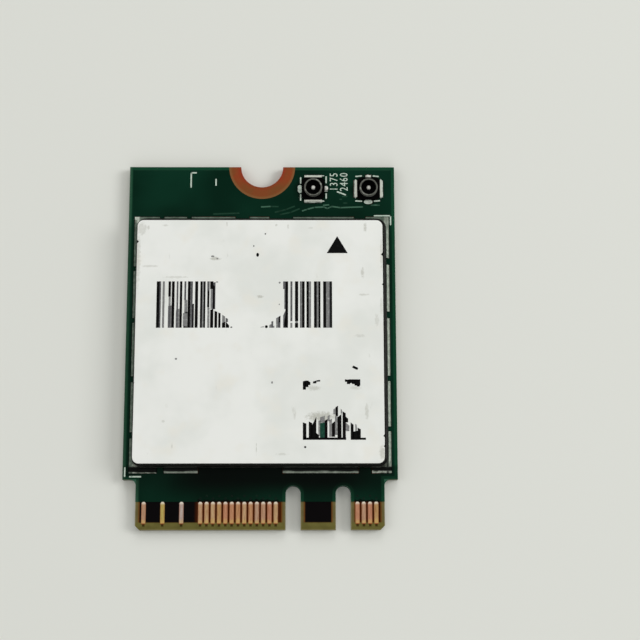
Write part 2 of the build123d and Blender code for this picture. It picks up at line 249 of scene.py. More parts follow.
    def blend(self, share: Amount, first: Shade, second: Shade, way: str = "MIX") -> Socket:
        """Mixes two colours.

        Args:
            share: How much of the second colour shows.
            first: The first colour.
            second: The second colour.
            way: The mix node's blend type.

        Returns:
            The mixed colour.
        """
        node = self.tree.nodes.new("ShaderNodeMix")
        node.data_type = "RGBA"
        node.blend_type = way
        self.put(share, node.inputs[0])
        for colour, socket in ((first, node.inputs[6]), (second, node.inputs[7])):
            self.put(linear(colour) if isinstance(colour, tuple) else colour, socket)
        return node.outputs[2]

    def spot(self, centre: Sequence[float], radii: Sequence[float], ragged: Socket, strength: float) -> Socket:
        """A soft oval with a ragged edge.

        Args:
            centre: Its middle.
            radii: Its radius along X and along Y.
            ragged: The noise that eats into its edge.
            strength: Its value in the middle.

        Returns:
            The oval, from 0 outside to the strength.
        """
        places = zip((self.x, self.y), centre, radii)
        away = self.square(*[self.sum("DIVIDE", self.minus(at, middle), radius) for at, middle, radius in places])
        return self.ramp(self.sum("ADD", away, ragged), 1.6, 0.5, 0.0, strength)

    def from_pitch(self, pitch: float) -> Socket:
        """How far a point lies across from the middle line of its contact, in millimetres."""
        place = self.sum("FRACT", self.sum("DIVIDE", self.x, pitch))
        return self.times(self.sum("ABSOLUTE", self.minus(place, 0.5)), pitch)

    def relief(self, height: Socket, depth_mm: float, strength: float = 1.0) -> None:
        """Adds bump, on top of any that the recipe has.

        Args:
            height: The height, from 0 to 1.
            depth_mm: How far 1 stands above 0.
            strength: How strong the bump is.
        """
        node = self.tree.nodes.new("ShaderNodeBump")
        node.inputs["Distance"].default_value = depth_mm * METRES
        node.inputs["Strength"].default_value = strength
        self.tree.links.new(height, node.inputs["Height"])
        normal = self.shader.inputs["Normal"]
        if normal.links:
            self.tree.links.new(normal.links[0].from_socket, node.inputs["Normal"])
        self.tree.links.new(node.outputs["Normal"], normal)

    def up(self) -> Socket:
        """How far the face looks up, from -1 to 1."""
        geometry = self.tree.nodes.new("ShaderNodeNewGeometry")
        split = self.tree.nodes.new("ShaderNodeSeparateXYZ")
        self.tree.links.new(geometry.outputs["Normal"], split.inputs["Vector"])
        return split.outputs[2]

    def paint(self, **sockets: Union[Amount, Colour]) -> None:
        """Sets the shader's own sockets, named in lower case with underscores."""
        names = {socket.name.lower().replace(" ", "_"): socket for socket in self.shader.inputs}
        for name, value in sockets.items():
            self.put(linear(value) if isinstance(value, tuple) else value, names[name])


class Finish:
    """A finish: one material, made once and put on any number of pieces."""

    name: str

    def mix(self, recipe: Recipe) -> None:
        """Writes the finish into a recipe."""
        raise NotImplementedError

    def material(self) -> bpy.types.Material:
        """The finish's material, made on first use."""
        found = bpy.data.materials.get(self.name)
        if found is None:
            recipe = Recipe(self.name)
            self.mix(recipe)
            found = recipe.material
        return found

    def dress(self, *nodes: str) -> None:
        """Puts the finish on CAD nodes.

        Args:
            nodes: The nodes' names.
        """
        for node in nodes:
            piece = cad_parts[node]
            if not piece.material_slots:
                piece.data.materials.append(None)
            for place in piece.material_slots:
                place.material = self.material()
            log.info("%s wears %s", node, self.name)


@dataclass(frozen=True)
class BoardOutline:
    """The board's outline, as sizes that finishes measure from."""

    half_width: float = 11.0
    top: float = 15.0
    shoulder: float = -11.0
    tip: float = -15.0
    tongue_half: float = 9.925
    keys: Pair = (2.625, 6.625)
    key_half: float = 0.6
    key_centre: float = -12.1

    def depth(self, recipe: Recipe) -> Socket:
        """How far a point lies inside the outline.

        Args:
            recipe: The recipe that needs the distance.

        Returns:
            The distance to the nearest edge in millimetres.
        """
        across = recipe.sum("ABSOLUTE", recipe.x)
        below_top = recipe.minus(self.top, recipe.y)
        body, tongue = [
            recipe.least(recipe.minus(half, across), below_top, recipe.minus(recipe.y, low))
            for half, low in ((self.half_width, self.shoulder), (self.tongue_half, self.tip))
        ]
        return recipe.least(recipe.most(body, tongue), self.key_distance(recipe))

    def key_distance(self, recipe: Recipe) -> Socket:
        """How far a point lies from the nearer key slot's wall."""
        reach = recipe.most(recipe.minus(recipe.y, self.key_centre), 0.0)
        away = [recipe.sum("SQRT", recipe.square(recipe.minus(recipe.x, key), reach)) for key in self.keys]
        return recipe.minus(recipe.least(*away), self.key_half)


@dataclass(frozen=True)
class MaskFinish(Finish):
    """Glossy dark green film: deep over copper, paler in the margin where bare laminate lies under it."""

    name: str = "green_mask_film"
    deep: Colour = (2, 33, 21)
    cloudy: Colour = (7, 46, 32)
    margin: Colour = (18, 66, 44)
    left_margin: Colour = (52, 84, 66)
    rim: Colour = (58, 98, 80)
    # painted shadow colour south of the can, also used for the darker film by the contact groups and round the
    # receptacles
    shade: Colour = (2, 6, 4)
    margin_width: float = 0.27
    rim_width: float = 0.05
    left_edges: Pair = (-10.72, -9.64)
    left_soft: float = 0.2
    # Where the painted shadow south of the can starts and deepens, and its middle and width across.
    shade_edge: float = -9.75
    shade_run: Pair = (-12.9, -11.0)
    shade_middle: float = 1.0
    shade_span: Pair = (9.8, 5.0)
    contact_groups: Run = ((-5.0, 1.5), (7.5, 9.5))
    group_edge: Pair = (-12.28, -12.42)
    dark_spots: Run = ((4.2, 13.1), (8.8, 13.1))
    dark_radii: Pair = (1.7, 1.5)
    outline: BoardOutline = BoardOutline()

    def mix(self, recipe: Recipe) -> None:
        """Writes the film: clouds, margin, faint copper streaks, a painted shadow south of the can, orange peel and
        the dip at the margin.
        """
        depth = self.outline.depth(recipe)
        margin = recipe.ramp(depth, self.margin_width + 0.03, self.margin_width - 0.05)
        clouds = recipe.ramp(recipe.cloud(0.16, 2.0), 0.35, 0.65)
        streaks = recipe.ramp(recipe.cloud(0.5, 2.0, (1.0, 9.0, 1.0)), 0.6, 0.8, 0.0, 0.35)
        film = recipe.blend(recipe.most(clouds, streaks), self.deep, self.cloudy)
        worn = recipe.ramp(recipe.cloud(3.0, 3.0), 0.3, 0.8, 0.75, 1.0)
        film = recipe.blend(recipe.times(margin, worn), film, self.margin)
        body, tongue = [recipe.ramp(recipe.x, at, at - self.left_soft, 0.0, 0.85) for at in self.left_edges]
        tongue = recipe.least(tongue, recipe.ramp(recipe.y, self.outline.shoulder, self.outline.shoulder - 0.15))
        pale = recipe.times(recipe.most(body, tongue), worn)
        film = recipe.blend(pale, film, self.left_margin)
        ragged = recipe.cloud(1.2, 2.0)
        spots = [recipe.spot(centre, self.dark_radii, ragged, 0.75) for centre in self.dark_spots]
        # Painted shadow of the can on the tongue's side, joined with the darker film by the contact groups and round
        # the receptacles, kept to the upper side.
        upper = recipe.ramp(recipe.z, 0.3, 0.5)
        painted_shadow_and_dark_film = recipe.times(upper, recipe.most(self.painted_can_shadow_and_dark_edge(recipe), *spots))
        film = recipe.blend(painted_shadow_and_dark_film, film, self.shade)
        rim = recipe.ramp(depth, self.rim_width, 0.0, 0.0, 0.7)
        recipe.paint(
            base_color=recipe.blend(recipe.times(rim, worn), film, self.rim),
            roughness=recipe.ramp(recipe.cloud(1.4, 4.0), 0.3, 0.75, 0.16, 0.26),
            specular_ior_level=0.04,
        )
        recipe.relief(recipe.minus(1.0, margin), 0.012)
        recipe.relief(recipe.cloud(9.0, 2.0), 0.004, 0.6)

    def painted_can_shadow_and_dark_edge(self, recipe: Recipe) -> Socket:
        """How much darker the film is on the tongue's side of the can: a painted shadow, deepest close to the can,
        and a darker edge just above the contact groups.
        """
        front = recipe.ramp(recipe.y, self.shade_edge, self.shade_edge - 0.3)
        close = recipe.ramp(recipe.y, *self.shade_run, 0.3, 0.97)
        off_middle = recipe.sum("ABSOLUTE", recipe.minus(recipe.x, self.shade_middle))
        middle = recipe.ramp(off_middle, *self.shade_span, 0.5, 1.0)
        # The painted shadow of the can, deepest close to it and in the middle.
        wide = recipe.times(front, recipe.times(close, middle))
        ragged = recipe.sum("MULTIPLY_ADD", recipe.cloud(4.0, 2.0), 0.5, recipe.y)
        beyond = recipe.ramp(ragged, *self.group_edge, 0.0, 0.92)
        return recipe.most(wide, recipe.least(recipe.within(self.contact_groups, 0.1), beyond))


@dataclass(frozen=True)
class LaminateFinish(Finish):
    """Bare glass laminate: olive where light passes, black over the inner copper plane, pale on sawn edges."""

    name: str = "glass_laminate"
    olive: Colour = (102, 93, 58)
    brown: Colour = (104, 62, 22)
    tip: Colour = (102, 96, 50)
    plane: Colour = (6, 4, 5)
    rust: Colour = (66, 26, 4)
    stub: Colour = (58, 44, 16)
    sawn: Colour = (106, 98, 70)
    layer: Colour = (80, 74, 48)
    # painted shade on the walls at the top of the key slots
    painted_slot_shade: Colour = (12, 15, 11)
    rim: Colour = (142, 134, 104)
    plane_inset: float = 0.35
    plane_tip: float = -14.40
    weave_shade: Colour = (40, 34, 22)
    rust_spans: Run = ((-5.1, 2.0), (7.3, 9.5))
    contact_spans: Run = ((-9.25, -9.25), (-7.75, -7.75), (-6.25, -6.25), (-4.75, 1.25), (7.75, 9.25))
    stub_ends: Pair = (-14.78, -14.66)
    pitch: float = 0.5
    layer_pitch: float = 0.13
    outline: BoardOutline = BoardOutline()

    def mix(self, recipe: Recipe) -> None:
        """Writes the laminate: weave, plane shade, brown fringe, fibrous sawn sides and painted shade on the walls at
        the top of the key slots.
        """
        depth = self.outline.depth(recipe)
        fringe = recipe.ramp(depth, self.plane_inset - 0.2, self.plane_inset)
        face = recipe.blend(fringe, self.olive, self.brown)
        beyond = recipe.ramp(recipe.y, self.plane_tip + 0.05, self.plane_tip - 0.05)
        face = recipe.blend(beyond, face, self.tip)
        across = recipe.from_pitch(self.pitch)
        spans = recipe.within(self.contact_spans, 0.02, 0.2)
        stub = recipe.least(recipe.ramp(across, 0.13, 0.07), recipe.ramp(recipe.y, *self.stub_ends), spans)
        face = recipe.blend(stub, face, self.stub)
        face = recipe.blend(recipe.ramp(depth, 0.09, 0.02, 0.0, 0.7), face, self.rim)
        plane = recipe.least(
            recipe.ramp(depth, self.plane_inset - 0.04, self.plane_inset + 0.04),
            recipe.minus(1.0, beyond),
        )
        dark = recipe.blend(recipe.within(self.rust_spans, 0.2), self.plane, self.rust)
        face = recipe.blend(plane, face, dark)
        weave = recipe.cloud(1.5, 2.0)
        fibre = recipe.cloud(7.0, 4.0, (1.0, 1.0, 2.5), 0.6)
        layers = recipe.sum("SINE", recipe.times(recipe.z, math.tau / self.layer_pitch))
        side = recipe.blend(
            recipe.ramp(recipe.sum("MULTIPLY_ADD", layers, 0.11, fibre), 0.32, 0.68), self.sawn, self.layer
        )
        # Painted shade on the slot walls round the top of each key slot.
        arch = recipe.least(
            recipe.ramp(self.outline.key_distance(recipe), 0.12, 0.04),
            recipe.ramp(recipe.y, self.outline.key_centre - 0.5, self.outline.key_centre),
        )
        side = recipe.blend(arch, side, self.painted_slot_shade)
        flat = recipe.ramp(recipe.sum("ABSOLUTE", recipe.up()), 0.5, 0.9)
        colour = recipe.blend(flat, side, face)
        woven = recipe.times(flat, recipe.ramp(weave, 0.35, 0.7, 0.0, 0.16))
        recipe.paint(
            base_color=recipe.blend(woven, colour, self.weave_shade, "MULTIPLY"),
            roughness=recipe.gloss(fibre, 0.42, 0.62),
            specular_ior_level=0.03,
        )
        recipe.relief(weave, 0.006)
        recipe.relief(fibre, 0.008, 0.5)


@dataclass(frozen=True)
class ContactFinish(Finish):
    """Hard gold on the edge contacts: each a shade of its own, scratched along the way it slides in."""

    name: str = "contact_gold"
    pitch: float = 0.5
    stops: tuple[tuple[float, Colour], ...] = (
        (0.0, (188, 132, 106)),
        (0.3, (184, 146, 98)),
        (0.55, (190, 158, 120)),
        (0.8, (182, 144, 118)),
        (1.0, (176, 152, 132)),
    )
    odd: tuple[tuple[float, Colour], ...] = ((-7.75, (184, 166, 92)), (-6.25, (182, 166, 160)))
    tip_shade: Colour = (200, 168, 96)
    edge_shade: Colour = (136, 74, 38)
    # painted highlight on the pale inner ends
    painted_inner_highlight: Colour = (232, 226, 212)
    scratch: Colour = (130, 80, 46)
    tip_run: Pair = (-13.8, -14.1)
    end_run: Pair = (-14.42, -14.5)
    inner_run: Pair = (-13.05, -12.8)
    seed: float = 3.0

    def mix(self, recipe: Recipe) -> None:
        """Writes the gold: a shade for each contact, sliding scratches, a darker tip and a painted highlight on the
        pale inner ends.
        """
        contact = recipe.sum("FLOOR", recipe.sum("DIVIDE", recipe.x, self.pitch))
        shade = recipe.shades(recipe.chance(recipe.sum("ADD", contact, self.seed)), self.stops)
        for x, colour in self.odd:
            shade = recipe.blend(recipe.inside(recipe.x, x - 0.25, x + 0.25, 0.01), shade, colour)
        scratches = recipe.cloud(9.0, 3.0, (3.0, 0.12, 1.0), 0.65)
        worn = recipe.blend(recipe.ramp(scratches, 0.42, 0.66, 0.0, 0.7), shade, self.scratch)
        tip = recipe.ramp(recipe.sum("MULTIPLY_ADD", recipe.cloud(2.0), 0.5, recipe.y), *self.tip_run)
        end = recipe.ramp(recipe.y, *self.end_run)
        # Painted highlight on the pale inner ends.
        inner = recipe.ramp(recipe.y, *self.inner_run, 0.0, 0.75)
        colour = recipe.blend(recipe.times(tip, 0.5), worn, self.tip_shade)
        colour = recipe.blend(inner, colour, self.painted_inner_highlight)
        edge = recipe.ramp(recipe.from_pitch(self.pitch), 0.09, 0.17, 0.0, 0.6)
        recipe.paint(
            base_color=recipe.blend(recipe.most(edge, end), colour, self.edge_shade),
            metallic=0.85,
            roughness=recipe.gloss(scratches, 0.34, 0.52),
        )
        recipe.relief(scratches, 0.006)


@dataclass(frozen=True)
class RingCopperFinish(Finish):
    """Bare copper of the screw pad: brown, redder towards its two ends, dulled by handling."""

    name: str = "ring_copper"
    brown: Colour = (110, 66, 28)
    orange: Colour = (134, 56, 22)
    dull: Colour = (122, 84, 46)
    inner: Colour = (134, 44, 20)
    centre: Pair = (0.0, 15.0)
    rim_run: Pair = (2.46, 2.68)
    lip_run: Pair = (2.15, 1.85)

    def mix(self, recipe: Recipe) -> None:
        """Writes the copper: blotches, redder ends and a rim that has gone dull."""
        blotches = recipe.cloud(0.9, 3.0)
        ends = recipe.ramp(recipe.y, 12.9, 14.6)
        warm = recipe.times(recipe.ramp(blotches, 0.3, 0.65), recipe.ramp(ends, 0.0, 1.0, 0.45, 1.0))
        colour = recipe.blend(warm, self.brown, self.orange)
        radius = recipe.distance(self.centre)
        rim = recipe.ramp(radius, *self.rim_run, 0.0, 0.75)
        lip = recipe.times(recipe.ramp(radius, *self.lip_run), recipe.ramp(recipe.y, 13.2, 14.7, 0.35, 0.85))
        grain = recipe.cloud(12.0, 4.0)
        recipe.paint(
            base_color=recipe.blend(lip, recipe.blend(rim, colour, self.dull), self.inner),
            metallic=0.75,
            roughness=recipe.gloss(grain, 0.38, 0.55),
        )
        recipe.relief(grain, 0.005)


@dataclass(frozen=True)
class MetalFinish(Finish):
    """Plain metal with a grain of its own: tin solder, sheet, plating or leads."""

    name: str
    clean: Colour
    stained: Colour
    roughness: Pair = (0.28, 0.45)
    lumps_per_mm: float = 2.0
    stain_per_mm: float = 0.8
    grain: Triple = (1.0, 1.0, 1.0)
    relief_mm: float = 0.01
    metallic: float = 1.0

    def mix(self, recipe: Recipe) -> None:
        """Writes the metal: stains, uneven gloss and its grain."""
        stain = recipe.ramp(recipe.cloud(self.stain_per_mm, 4.0), 0.38, 0.7)
        grain = recipe.cloud(self.lumps_per_mm, 4.0, self.grain, 0.6)
        recipe.paint(
            base_color=recipe.blend(stain, self.clean, self.stained),
            metallic=self.metallic,
            roughness=recipe.gloss(grain, *self.roughness),
        )
        recipe.relief(grain, self.relief_mm)


@dataclass(frozen=True)
class LandSolderFinish(Finish):
    """Tinned lands round the can and the solder on them, with painted shade: black up against the wall, darker on the
    back and left lands, bright at the outer edge.
    """

    name: str = "land_solder"
    bright: Colour = (176, 182, 172)
    dull: Colour = (98, 104, 94)
    pit: Colour = (60, 64, 58)
    even: Colour = (128, 136, 126)
    # painted shade on the back and left lands
    painted_dim_shade: Colour = (72, 86, 76)
    # painted shadow at the root of the solder by the can's wall
    black: Colour = (7, 9, 8)
    front_wall: float = -10.15
    front: Pair = (-9.9, -10.05)
    back: Pair = (10.1, 10.4)
    back_span: Pair = (-10.1, 10.1)
    left: Pair = (-10.1, -10.3)
    left_end: Pair = (10.25, 10.05)
    right: Pair = (10.1, 10.3)
    right_root: Pair = (10.1, 10.28)
    right_end: Pair = (10.0, 9.8)
    calm_front: Pair = (-7.7, 7.9)
    corner: Pair = (-7.7, -8.1)

    def mix(self, recipe: Recipe) -> None:
        """Writes the solder: painted shade on the left and back lands, calm right and front, with a painted shadow at
        the root by the wall.
        """
        lumps = recipe.cloud(5.0, 4.0, roughness=0.6)
        grain = recipe.cloud(11.0, 4.0, roughness=0.65)
        metal = recipe.blend(recipe.ramp(recipe.cloud(2.4, 5.0, roughness=0.6), 0.38, 0.6), self.bright, self.dull)
        front = recipe.ramp(recipe.y, *self.front)
        middle = recipe.times(recipe.least(front, recipe.inside(recipe.x, *self.calm_front, 0.2)), 0.7)
        calm = recipe.most(middle, recipe.ramp(recipe.x, *self.right, 0.0, 0.75))
        rough = recipe.minus(1.0, calm)
        metal = recipe.blend(calm, metal, self.even)
        metal = recipe.blend(recipe.times(recipe.ramp(grain, 0.56, 0.72, 0.0, 0.7), rough), metal, self.pit)
        # Painted shade on the back lands and on the left lands.
        back = recipe.ramp(recipe.y, *self.back, 0.0, 0.85)
        back = recipe.least(back, recipe.inside(recipe.x, *self.back_span, 0.1))
        left = recipe.least(recipe.ramp(recipe.x, *self.left, 0.0, 0.8), recipe.ramp(recipe.y, *self.left_end))
        metal = recipe.blend(recipe.most(back, left), metal, self.painted_dim_shade)
        # Painted shadow along the root of the right wall.
        painted_right_root_shadow = recipe.times(recipe.inside(recipe.x, *self.right_root, 0.03), 0.85)
        painted_right_root_shadow = recipe.least(painted_right_root_shadow, recipe.ramp(recipe.y, *self.right_end))
        # Painted shadow along the root of the front wall, with a ragged edge.
        uneven = recipe.sum("MULTIPLY_ADD", recipe.cloud(0.9, 3.0), 0.22, recipe.minus(self.front_wall, recipe.y))
        uneven = recipe.minus(uneven, recipe.ramp(recipe.x, *self.corner, 0.0, 0.09))
        root = recipe.times(recipe.ramp(uneven, 0.36, 0.24), front)
        recipe.paint(
            base_color=recipe.blend(recipe.most(root, painted_right_root_shadow), metal, self.black),
            metallic=0.9,
            roughness=recipe.gloss(grain, 0.32, 0.58),
        )
        recipe.relief(recipe.times(lumps, rough), 0.05)
        recipe.relief(recipe.times(grain, rough), 0.014)


@dataclass(frozen=True)
class LabelFinish(Finish):
    """White label paper: faint grey and warm mottling, handling marks and a soft tooth."""

    name: str = "label_white"
    white: Colour = (234, 235, 232)
    grey: Colour = (224, 226, 222)
    warm: Colour = (230, 228, 220)
    scuff: Colour = (168, 167, 156)
    smudges: tuple[Bar, ...] = (
        (-3.70, 6.80, 0.50, 0.16, 0.6), (-9.05, 6.17, 0.80, 0.11, 0.35), (-6.80, 5.25, 1.20, 0.12, 0.3),
        (-0.06, 3.64, 0.32, 0.14, 0.6), (-9.70, 9.30, 0.45, 0.60, 0.35), (8.49, 9.43, 0.16, 0.45, 0.55),
        (8.26, 5.65, 0.16, 0.48, 0.5), (8.31, 3.81, 0.50, 0.10, 0.4), (7.97, 0.42, 0.45, 0.16, 0.3),
        (9.38, 1.72, 0.20, 0.60, 0.3), (8.49, -5.72, 0.18, 0.75, 0.4), (9.71, -9.00, 0.30, 0.60, 0.5),
        (4.85, -6.15, 1.35, 0.46, 0.7), (4.25, -3.84, 0.65, 0.24, 0.45), (7.60, -3.84, 0.50, 0.20, 0.35),
        (1.76, -9.12, 0.55, 0.11, 0.3), (-5.90, 1.90, 1.30, 0.90, 0.25), (-7.90, 3.90, 0.50, 1.20, 0.15),
        (-9.20, 9.40, 0.12, 0.25, 0.4), (-7.80, 9.60, 0.30, 0.10, 0.35), (-2.80, 9.72, 0.08, 0.22, 0.35),
        (1.22, 9.62, 0.12, 0.12, 0.4), (2.20, 9.50, 0.10, 0.28, 0.35), (4.00, 9.38, 0.25, 0.10, 0.25),
        (-9.98, 6.60, 0.22, 2.60, 0.4), (9.80, 7.20, 0.14, 1.60, 0.35), (9.75, 2.90, 0.16, 0.80, 0.3),
        (-0.28, -8.68, 0.05, 0.60, 0.5), (-6.96, -8.50, 0.08, 0.30, 0.35), (-7.70, -6.50, 0.15, 0.12, 0.35),
    )

    def mix(self, recipe: Recipe) -> None:
        """Writes the paper: wide mottling, a few short scuffs, fine tooth."""
        colour = recipe.blend(recipe.ramp(recipe.cloud(0.22, 3.0), 0.4, 0.68), self.white, self.grey)
        colour = recipe.blend(recipe.ramp(recipe.cloud(0.5, 2.0), 0.52, 0.75, 0.0, 0.6), colour, self.warm)
        short = recipe.ramp(recipe.cloud(1.3, 4.0, (1.0, 0.35, 1.0)), 0.68, 0.8, 0.0, 0.4)
        ragged = recipe.sum("MULTIPLY_ADD", recipe.cloud(4.5, 4.0, roughness=0.65), 2.8, -0.9)
        for x, y, radius_x, radius_y, strength in self.smudges:
            short = recipe.most(short, recipe.spot((x, y), (radius_x, radius_y), ragged, strength))
        tooth = recipe.cloud(14.0, 3.0)
        recipe.paint(
            base_color=recipe.blend(short, colour, self.scuff),
            roughness=recipe.gloss(tooth, 0.5, 0.68),
            specular_ior_level=0.35,
        )
        recipe.relief(recipe.cloud(0.3, 2.0), 0.05, 0.5)
        recipe.relief(tooth, 0.003)


@dataclass(frozen=True)
class CanFinish(Finish):
    """Drawn sheet of the can: grey walls with drawing marks, and a painted dark reflection, nearly black, where the
    edge is bent.
    """

    name: str = "can_sheet"
    wall: Colour = (112, 111, 106)
    wall_stain: Colour = (74, 73, 69)
    # painted dark reflection, nearly black, on the bent edge above bend_low
    painted_bend_reflection: Colour = (25, 25, 24)
    bend_low: float = 1.72

    def mix(self, recipe: Recipe) -> None:
        """Writes the sheet: walls, stains, the painted dark reflection where the edge is bent, and fine upright
        drawing marks.
        """
        stain = recipe.ramp(recipe.cloud(0.6, 4.0), 0.38, 0.7)
        marks = recipe.cloud(7.0, 4.0, (1.0, 1.0, 0.12), 0.6)
        sheet = recipe.blend(recipe.most(stain, recipe.ramp(marks, 0.5, 0.75, 0.0, 0.5)), self.wall, self.wall_stain)
        # Above bend_low the sheet turns to the painted dark reflection.
        recipe.paint(
            base_color=recipe.blend(recipe.ramp(recipe.z, self.bend_low, self.bend_low + 0.14), sheet, self.painted_bend_reflection),
            metallic=1.0,
            roughness=recipe.gloss(marks, 0.28, 0.44),
        )
        recipe.relief(marks, 0.004)


@dataclass(frozen=True)
class ShellFinish(Finish):
    """Plated shell of a receptacle: bright feet, a barrel that has gone grey, and painted shade inside the barrel."""

    name: str = "receptacle_shell"
    bright: Colour = (196, 198, 190)
    grey: Colour = (98, 99, 94)
    # painted shade inside the barrel
    painted_bore_shade: Colour = (26, 26, 25)
    foot_top: float = 0.92
    lip_low: float = 1.33
    centres: Run = ((4.25, 13.12), (8.85, 13.12))
    bore_radius: float = 0.62

    def mix(self, recipe: Recipe) -> None:
        """Writes the plating: bright below, grey above, painted shade inside the barrel, worn bright at the lip."""
        grain = recipe.cloud(4.0, 4.0)
        metal = recipe.blend(recipe.ramp(recipe.z, self.foot_top, self.foot_top + 0.1), self.bright, self.grey)
        chips = recipe.ramp(recipe.cloud(2.2, 3.0), 0.5, 0.72, 0.0, 0.6)
        worn = recipe.times(chips, recipe.ramp(recipe.z, self.lip_low, self.lip_low + 0.03))
        metal = recipe.blend(worn, metal, self.bright)
        # Painted shade inside each barrel.
        ends = (self.bore_radius + 0.01, self.bore_radius - 0.01)
        inside = [recipe.ramp(recipe.distance(centre), *ends) for centre in self.centres]
        recipe.paint(
            base_color=recipe.blend(recipe.most(*inside), metal, self.painted_bore_shade),
            metallic=1.0,
            roughness=recipe.gloss(grain, 0.3, 0.45),
        )
        recipe.relief(grain, 0.006)


@dataclass(frozen=True)
class GrainFinish(Finish):
    """Fine-grained moulding or ceramic, whose second tone, gloss and tooth all follow one grain."""

    name: str
    colour: Colour
    second: Colour
    roughness: Pair = (0.42, 0.6)
    per_mm: float = 10.0
    specular: float = 0.4
    spread: Pair = (0.45, 0.75)
    relief_mm: float = 0.006

    def mix(self, recipe: Recipe) -> None:
        """Writes the two tones, the uneven gloss and the grain."""
        grain = recipe.cloud(self.per_mm, 4.0)
        recipe.paint(
            base_color=recipe.blend(recipe.ramp(grain, *self.spread), self.colour, self.second),
            roughness=recipe.gloss(grain, *self.roughness),
            specular_ior_level=self.specular,
        )
        recipe.relief(grain, self.relief_mm)


@dataclass(frozen=True)
class InkFinish(GrainFinish):
    """Printed ink or film over copper: thinner in places, with the tooth of what it lies on."""

    roughness: Pair = (0.42, 0.58)
    per_mm: float = 3.0
    specular: float = 0.1
    spread: Pair = (0.5, 0.78)
    relief_mm: float = 0.003


MASK = MaskFinish()
SOLDER = MetalFinish("tin_solder", (192, 200, 192), (122, 130, 124), (0.3, 0.5), 5.0, 1.6, relief_mm=0.02)
PIN_PLATING = MetalFinish(
    "pin_plating", (200, 201, 195), (170, 169, 162), (0.35, 0.5), 4.0, 1.5, relief_mm=0.004, metallic=0.3
)
LEADS = MetalFinish("tinned_leads", (214, 214, 208), (178, 178, 172), (0.3, 0.46), 6.0, 1.5)
LANDS = MetalFinish("inner_lands", (208, 164, 104), (176, 134, 80), (0.32, 0.5), 5.0, 1.0, relief_mm=0.005)
BLACK_MOULDING = GrainFinish("black_moulding", (2, 2, 2), (6, 6, 6), (0.55, 0.75), specular=0.02)
CHIP_MOULDING = GrainFinish("chip_moulding", (24, 24, 26), (44, 44, 46))
CERAMIC = GrainFinish("white_ceramic", (214, 210, 198), (188, 184, 172), per_mm=6.0)
FERRITE = GrainFinish("grey_ferrite", (66, 66, 70), (92, 92, 96), (0.5, 0.7))
CAPACITOR = GrainFinish("tan_capacitor", (150, 118, 86), (126, 98, 72), (0.35, 0.5), 6.0)
WHITE_INK = InkFinish("white_board_ink", (190, 204, 192), (112, 142, 124), (0.47, 0.63), 6.0)
TRACK_FILM = InkFinish("film_over_track", (62, 98, 80), (20, 54, 40), per_mm=1.6)
FAINT_FILM = InkFinish("film_over_deep_track", (24, 60, 44), (8, 38, 26), per_mm=1.6)
HOLE_FILM = InkFinish("filled_hole_film", (3, 12, 8), (16, 44, 32), per_mm=2.5)
BLACK_INK = InkFinish("black_label_ink", (5, 5, 5), (20, 20, 20), (0.52, 0.68), 4.0, 0.05)
WORN_INK = InkFinish("worn_label_ink", (84, 84, 86), (128, 128, 130), (0.47, 0.63), 5.0)
GREY_INK = InkFinish("grey_label_ink", (122, 122, 122), (176, 178, 176), (0.47, 0.63), 5.0)
GREEN_INK = InkFinish("green_label_ink", (14, 58, 44), (40, 84, 68), per_mm=4.0)


